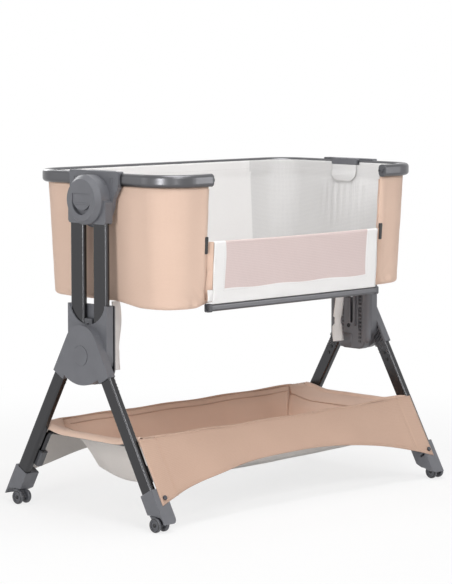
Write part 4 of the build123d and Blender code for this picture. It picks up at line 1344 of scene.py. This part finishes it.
    def build(self) -> list[Obj]:
        """Build the whole basket.

        Returns:
            The pieces.
        """
        tray = self.tray()
        pieces = [tray, *self.bands(), *self.skirts()]
        # The rim and hem cords take the darker peach, painted shade under the basin.
        hems = []
        half, hem_y = self.inner_hem
        for end in End:
            path = [(x, end.value * (self.plane_y(self.rim(x)) - 1.0 * MM), self.rim(x) + 0.6 * MM)
                    for x in spread(-self.rim_half, self.rim_half, 79)]
            hems.append(tube(f"basket_rim_{end.word}", path, 2.6, self.finishes.basket))
            path = [(x, end.value * hem_y, self.rim(x * self.tray_reach) - 11 * MM)
                    for x in spread(-half, half, 79)]
            hems.append(tube(f"basket_inner_hem_{end.word}", path, 1.5, self.finishes.basket))
        for side in Side:
            path = [(side.value * (self.hem_x - 3 * MM), y, self.hem(y))
                    for y in spread(-self.end_hem_half, self.end_hem_half, 39)]
            hems.append(tube(f"basket_end_hem_{side.word}", path, 1.5, self.finishes.basket))
        return [*pieces, settle(join("basket_rim_hems", hems), "stand")]


@dataclass
class BedStraps:
    """The two loose white straps under the basin, each a webbing with a narrower part."""

    finishes: Finishes
    top: float = 0.5062
    length: float = 0.165
    x: float = 0.395
    sway: float = 0.005
    twist: float = math.radians(6)
    left: Point = (-0.011, 0.030, 0.16)  # middle, width, and share by which the waist is narrower
    right: Point = (-0.006, 0.036, 0.34)

    def build(self) -> list[Obj]:
        """Build both straps.

        Returns:
            The pieces.
        """
        pieces = []
        for side, (middle, width, narrow) in ((Side.LEFT, self.left), (Side.RIGHT, self.right)):
            grid: list[Row] = []
            for t in spread(0.0, 1.0, 66):
                y = middle - self.sway * wave(t, 1.0) * (1 - 0.2 * t)
                twist = self.twist * side.value * wave(t, 1.4)
                if side is Side.RIGHT:
                    waist = ease(t, 0.60, 0.63) * (1 - ease(t, 0.72, 0.76))
                else:
                    waist = 1 - ease(t, 0.70, 0.74)
                half = width / 2 * (1 - narrow * waist)
                x = side.value * self.x + (0.3 * (width / 2 - half) if side is Side.RIGHT else 0.0)
                z = self.top - t * self.length
                grid.append([(x + s * half * math.cos(twist),
                              y - 0.7 * MM * (1 - s * s) + s * half * math.sin(twist), z)
                             for s in spread(-1.0, 1.0, 6)])
            web = cloth_grid(f"bed_strap_{side.word}_web", grid[::-1], [self.finishes.white])
            strap = settle(thicken(web, 1.6, 0.0), "basin", f"bed_strap_{side.word}")
            pieces.append(strap)
        return pieces


@dataclass
class Hardware:
    """The rigid pieces: every shown solid gets its finish, and the mouldings get their ribs."""

    finishes: Finishes
    rows: RowTree
    caster_x: float = 0.488
    caster_y: float = 0.2435
    caster_trail: float = 0.015
    wheel_radius: float = 0.017
    wheel_face: float = 0.0171
    lever_face: float = 0.4917
    cheek_face: float = 0.4531
    sleeve_face: float = 0.4521
    cover_face: float = 0.4757
    column_y: float = 0.0545
    sheath: tuple[float, float] = (0.0145, 0.0095)  # half width and depth
    sheath_span: tuple[float, float] = (0.50, 0.36)
    dome: tuple[float, float] = (0.333, 0.022)  # foot and height of a sheath's round end
    rib_y: float = -0.0135
    pad_y: float = 0.020
    eye: tuple[float, float] = (0.0096, 0.3764)
    bar_top: float = 0.383
    bar_pitch: float = 0.0075
    bar_half: float = 0.0145
    grip_z: tuple[float, float] = (0.7385, 0.7435)
    grip_half: float = 0.020

    def dress(self) -> int:
        """Give each solid that is not cloth its finish, by the first start of its name that is listed.

        Returns:
            How many solids were dressed.
        """
        kit = self.finishes
        by_start = {
            "leg_cover": kit.grey, "leg_screws": kit.black, "leg_": kit.tube, "foot_": kit.grey,
            "caster_yoke": kit.dark, "caster_wheels": kit.wheel, "column_sleeve": kit.grey,
            "column_": kit.tube, "lock_block": kit.dark, "lock_pin": kit.nickel, "pivot_head": kit.grey,
            "release_lever": kit.grey, "pivot_pin": kit.nickel, "rail_saddle": kit.grey,
            "rail_plug": kit.dark, "bar_cap": kit.dark, "top_rail": kit.rail, "front_rail": kit.rail,
            "basket_hoop": kit.tube, "hoop_brackets": kit.dark,
            "press_studs": kit.gunmetal, "zip_slider": kit.black, "floor_board": kit.board,
        }
        done = 0
        for name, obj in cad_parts.items():
            material = next((by_start[start] for start in by_start if name.startswith(start)), None)
            if material:
                obj.data.materials.clear()
                obj.data.materials.append(material)
                done += 1
        return done

    def ridge(self, name: str, side: Side, middle: float, sections: Sequence[Point]) -> Obj:
        """Build a half-round ridge that stands on a sleeve and points to the middle of the object.

        Args:
            name: Name of the object.
            side: End of the object.
            middle: Place of the ridge along Y.
            sections: (height, half width, depth) from the top down.

        Returns:
            A plain mesh.
        """
        grid: list[Row] = []
        for z, half, depth in sections:
            row = [(side.value * (self.sleeve_face - depth * math.cos(a)), middle + half * math.sin(a), z)
                   for a in spread(-math.pi / 2, math.pi / 2, 12)]
            grid.append(row if side is Side.RIGHT else row[::-1])
        return cloth_grid(name, grid, [self.finishes.grey])

    def lattice(self, side: Side) -> list[Row]:
        """Lines of the crossed bars on the inner side of a leg cover."""
        bars = []
        for end in End:
            for tilt in (-1, 1):
                for high in (self.bar_top - self.bar_pitch * k for k in range(9)):
                    bar = []
                    for t in spread(-self.bar_half, self.bar_half, 4):
                        z = high + tilt * 0.9 * t
                        y = LEG_Y + (LEG_Z - z) * math.tan(LEAN) + t / math.cos(LEAN)
                        bar.append((side.value * self.cover_face, end.value * y, z))
                    bars.append(bar)
        return bars

    def sheaths(self) -> list[Obj]:
        """Build the half-round sheaths, ribs and lattice on the stand's inner sides, with black beads and a
        black ring as painted shade in the slots and the eye hole.
        """
        pieces = []
        half, depth = self.sheath
        foot, rise = self.dome
        sections = [(0.5026, half - 1 * MM, depth - 1 * MM)]
        sections += [(z, half, depth) for z in spread(*self.sheath_span, 10)]
        sections += [(foot + rise * (1 - math.cos(a)), half * math.sin(a), depth * math.sin(a))
                     for a in (1.5, 1.2, 0.9, 0.6, 0.3, 0.02)]
        rib = [(0.5, 0.001, 0.001), (0.499, 0.0036, 0.006), (0.379, 0.0036, 0.006), (0.376, 0.001, 0.001)]
        pad = [(0.3555, 0.022, 0.0005), (0.3535, 0.0245, 0.005), (0.325, 0.0215, 0.0045),
               (0.319, 0.018, 0.0005)]
        for side in Side:
            word, x = side.word, side.value * (self.sleeve_face - 0.3 * MM)
            ridges = [self.ridge(f"sheath_{word}_{k}", side, middle, sections)
                      for k, middle in enumerate((-self.column_y, self.column_y))]
            ridges.append(self.ridge(f"rib_{word}", side, self.rib_y, rib))
            ridges.append(self.ridge(f"pad_{word}", side, self.pad_y, pad))
            # Black beads stand in for the shade inside the slots, and the black ring for the shade in the eye
            # hole.
            slots = [[(x, y, z) for z in (0.494, 0.45, 0.40, 0.337)] for y in (-0.0275, -0.0325, 0.0295)]
            slots += [[(x, y, z) for z in (0.494, 0.48, 0.452)] for y in (0.006, 0.0115, 0.017)]
            eye = ring((x, *self.eye), 3.2 * MM, 20)
            made = (join(f"sleeve_sheaths_{word}", ridges),
                    self.rows.row(f"sleeve_slots_{word}", slots, self.finishes.black, 9.5, (7.5, 2.6, 2.6)),
                    tube(f"sleeve_eye_{word}", eye, 2.4, self.finishes.black, closed=True),
                    self.rows.row(f"cover_lattice_{word}", self.lattice(side), self.finishes.grey, 2.6,
                                  (3.6, 1.5, 1.5)))
            pieces += [settle(piece, "stand") for piece in made]
        return pieces

    def wheel_rings(self) -> list[Obj]:
        """Build the dark rings and hub caps on the outer faces of the caster wheels."""
        pieces = []
        for word, side, end in ((f"{side.word}_{end.word}", side, end) for side in Side for end in End):
            rings = []
            for face in (-1, 1):
                centre = (side.value * self.caster_x + face * (self.wheel_face - 0.8 * MM),
                          end.value * self.caster_y - self.caster_trail, self.wheel_radius)
                for k, (radius, thick) in enumerate(((14.6, 1.3), (2.2, 2.2))):
                    rings.append(tube(f"ring_{word}_{face}_{k}", ring(centre, radius * MM, 32), thick,
                                      self.finishes.black, closed=True))
            pieces.append(settle(join(f"wheel_rings_{word}", rings), f"wheels_{word}"))
        return pieces

    def ribs(self) -> list[Obj]:
        """Build the grip ribs of the release levers and the outlines pressed into the saddles' cheeks."""
        pieces = []
        low, high, near, far = 0.7895, 0.802, 0.0578, 0.067
        corners = ((near, low), (near, high), (far, high), (far, low))
        for side in Side:
            lines = [[(side.value * self.lever_face, y, z)
                      for y in spread(-self.grip_half, self.grip_half, 10)] for z in self.grip_z]
            rib = self.rows.row(f"lever_ribs_{side.word}", lines, self.finishes.grey, 4, (6, 1.4, 1.4))
            marks = [tube(f"cheek_mark_{side.word}_{end.value}",
                          [(side.value * self.cheek_face, end.value * y, z) for y, z in corners], 0.7,
                          self.finishes.dark) for end in End]
            pieces += [settle(rib, f"lever_{side.word}"),
                       settle(join(f"saddle_marks_{side.word}", marks), "basin")]
        return pieces


@dataclass
class Studio:
    """Pale floor, soft studio light and the camera at the photograph's angle."""

    camera_place: Point = (-4.1661, -4.1507, 1.1098)
    camera_turn: Point = (84.061, 0.0, -45.01)
    lens: float = 146.4
    sensor: float = 36.0
    floor_half: float = 30.0
    shadow_reach: tuple[float, float] = (0.7, 1.9)
    shadow_share: float = 0.24
    ambient: float = 0.26
    aim: Point = (0.0, 0.0, 0.5)

    def floor(self) -> None:
        """Lay a pale floor that reads white away from the object and keeps its shadow close by."""
        mesh = bpy.data.meshes.new("studio_floor")
        half = self.floor_half
        corners = [(-half, -half, 0), (half, -half, 0), (half, half, 0), (-half, half, 0)]
        mesh.from_pydata(corners, [], [(0, 1, 2, 3)])
        material, tree, shader = blank_material("studio_paper")
        feed(tree, shader, {"Base Color": (0.9, 0.9, 0.9, 1), "Roughness": 0.9, "Specular IOR Level": 0.0})
        seen = self.seen(tree)
        place = add_node(tree, "ShaderNodeTexCoord").outputs["Object"]
        away = add_node(tree, "ShaderNodeVectorMath", {"operation": "LENGTH"}, {0: place})
        plain = add_node(tree, "ShaderNodeMapRange", {"interpolation_type": "SMOOTHSTEP"},
                         {"Value": away.outputs["Value"], "From Min": self.shadow_reach[0],
                          "From Max": self.shadow_reach[1], "To Min": 1 - self.shadow_share, "To Max": 1.0})
        amount = add_node(tree, "ShaderNodeMath", {"operation": "MULTIPLY"},
                          {0: seen, 1: plain.outputs["Result"]})
        glow = add_node(tree, "ShaderNodeEmission", inputs={"Color": (1, 1, 1, 1), "Strength": 1.0})
        mixed = add_node(tree, "ShaderNodeMixShader", inputs={0: amount.outputs[0], 1: shader.outputs["BSDF"],
                                                              2: glow.outputs["Emission"]})
        output = next(n for n in tree.nodes if n.type == "OUTPUT_MATERIAL")
        feed(tree, output, {"Surface": mixed.outputs[0]})
        mesh.materials.append(material)
        add_object("studio_floor", mesh)

    def seen(self, tree: Tree) -> bpy.types.NodeSocket:
        """Say, as 0 or 1, whether a ray shows the background: seen directly, in gloss or through glass."""
        path = add_node(tree, "ShaderNodeLightPath").outputs
        gloss = add_node(tree, "ShaderNodeMath", {"operation": "MAXIMUM"},
                         {0: path["Is Camera Ray"], 1: path["Is Glossy Ray"]})
        both = add_node(tree, "ShaderNodeMath", {"operation": "MAXIMUM"},
                        {0: gloss.outputs[0], 1: path["Is Transmission Ray"]})
        return both.outputs[0]

    def light(self, name: str, place: Point, size: tuple[float, float], power: float) -> None:
        """Hang a rectangular softbox that points at the middle of the object.

        Args:
            name: Name of the lamp.
            place: Where it hangs.
            size: Its width and height.
            power: Its power in watts.
        """
        lamp = bpy.data.lights.new(name, "AREA")
        lamp.shape = "RECTANGLE"
        lamp.size, lamp.size_y = size
        lamp.energy = power
        obj = add_object(name, lamp)
        obj.visible_camera = False
        obj.location = place
        obj.rotation_euler = (Vector(self.aim) - Vector(place)).to_track_quat("-Z", "Y").to_euler()

    def build(self) -> None:
        """Set the world, the lamps and the camera."""
        scene = bpy.context.scene
        scene.view_settings.view_transform = "Standard"
        world = scene.world = bpy.data.worlds.new("studio")
        world.use_nodes = True
        tree = world.node_tree
        tree.nodes.clear()
        strength = add_node(tree, "ShaderNodeMapRange",
                            inputs={"Value": self.seen(tree), "To Min": self.ambient, "To Max": 1.0})
        sky = add_node(tree, "ShaderNodeBackground",
                       inputs={"Color": (1, 1, 1, 1), "Strength": strength.outputs["Result"]})
        add_node(tree, "ShaderNodeOutputWorld", inputs={"Surface": sky.outputs["Background"]})
        self.floor()
        self.light("key_strip", (-3.8, -1.35, 1.0), (0.55, 1.7), 57)
        self.light("left_fill", (-3.3, 1.9, 1.2), (0.8, 1.2), 7)
        self.light("front_softbox", (-1.0, -2.6, 2.7), (1.2, 0.8), 31)
        self.light("front_strip", (-1.9, -3.6, 1.0), (0.6, 1.7), 9)
        self.light("right_strip", (2.6, -3.1, 1.0), (0.6, 1.7), 19)
        self.light("rear_softbox", (1.0, 3.4, 2.2), (1.4, 1.0), 30)
        self.light("top_softbox", (0.0, -0.4, 3.0), (1.8, 1.0), 38)
        camera = bpy.data.cameras.new("camera")
        camera.sensor_fit = "VERTICAL"
        camera.sensor_height = self.sensor
        camera.lens = self.lens
        scene.camera = add_object("camera", camera)
        scene.camera.location = self.camera_place
        scene.camera.rotation_euler = tuple(math.radians(a) for a in self.camera_turn)


def main() -> None:
    """Build every sub-assembly in order and report each piece."""
    logging.basicConfig(level=logging.INFO, format="%(name)s: %(message)s")
    Studio().build()
    finishes = Finishes()
    rows = RowTree()
    pieces: list[Obj] = []
    for maker in (BasinCloth(finishes, rows), DropPanel(finishes, rows), MattressPad(finishes),
                  BasketCloth(finishes, rows), BedStraps(finishes)):
        pieces += maker.build()
    hardware = Hardware(finishes, rows)
    LOG.info("dressed %d solids", hardware.dress())
    pieces += [*hardware.ribs(), *hardware.sheaths(), *hardware.wheel_rings()]
    for piece in pieces:
        LOG.info("%s: %d faces", piece.name, len(piece.data.polygons))


if __name__ == "__main__":
    main()
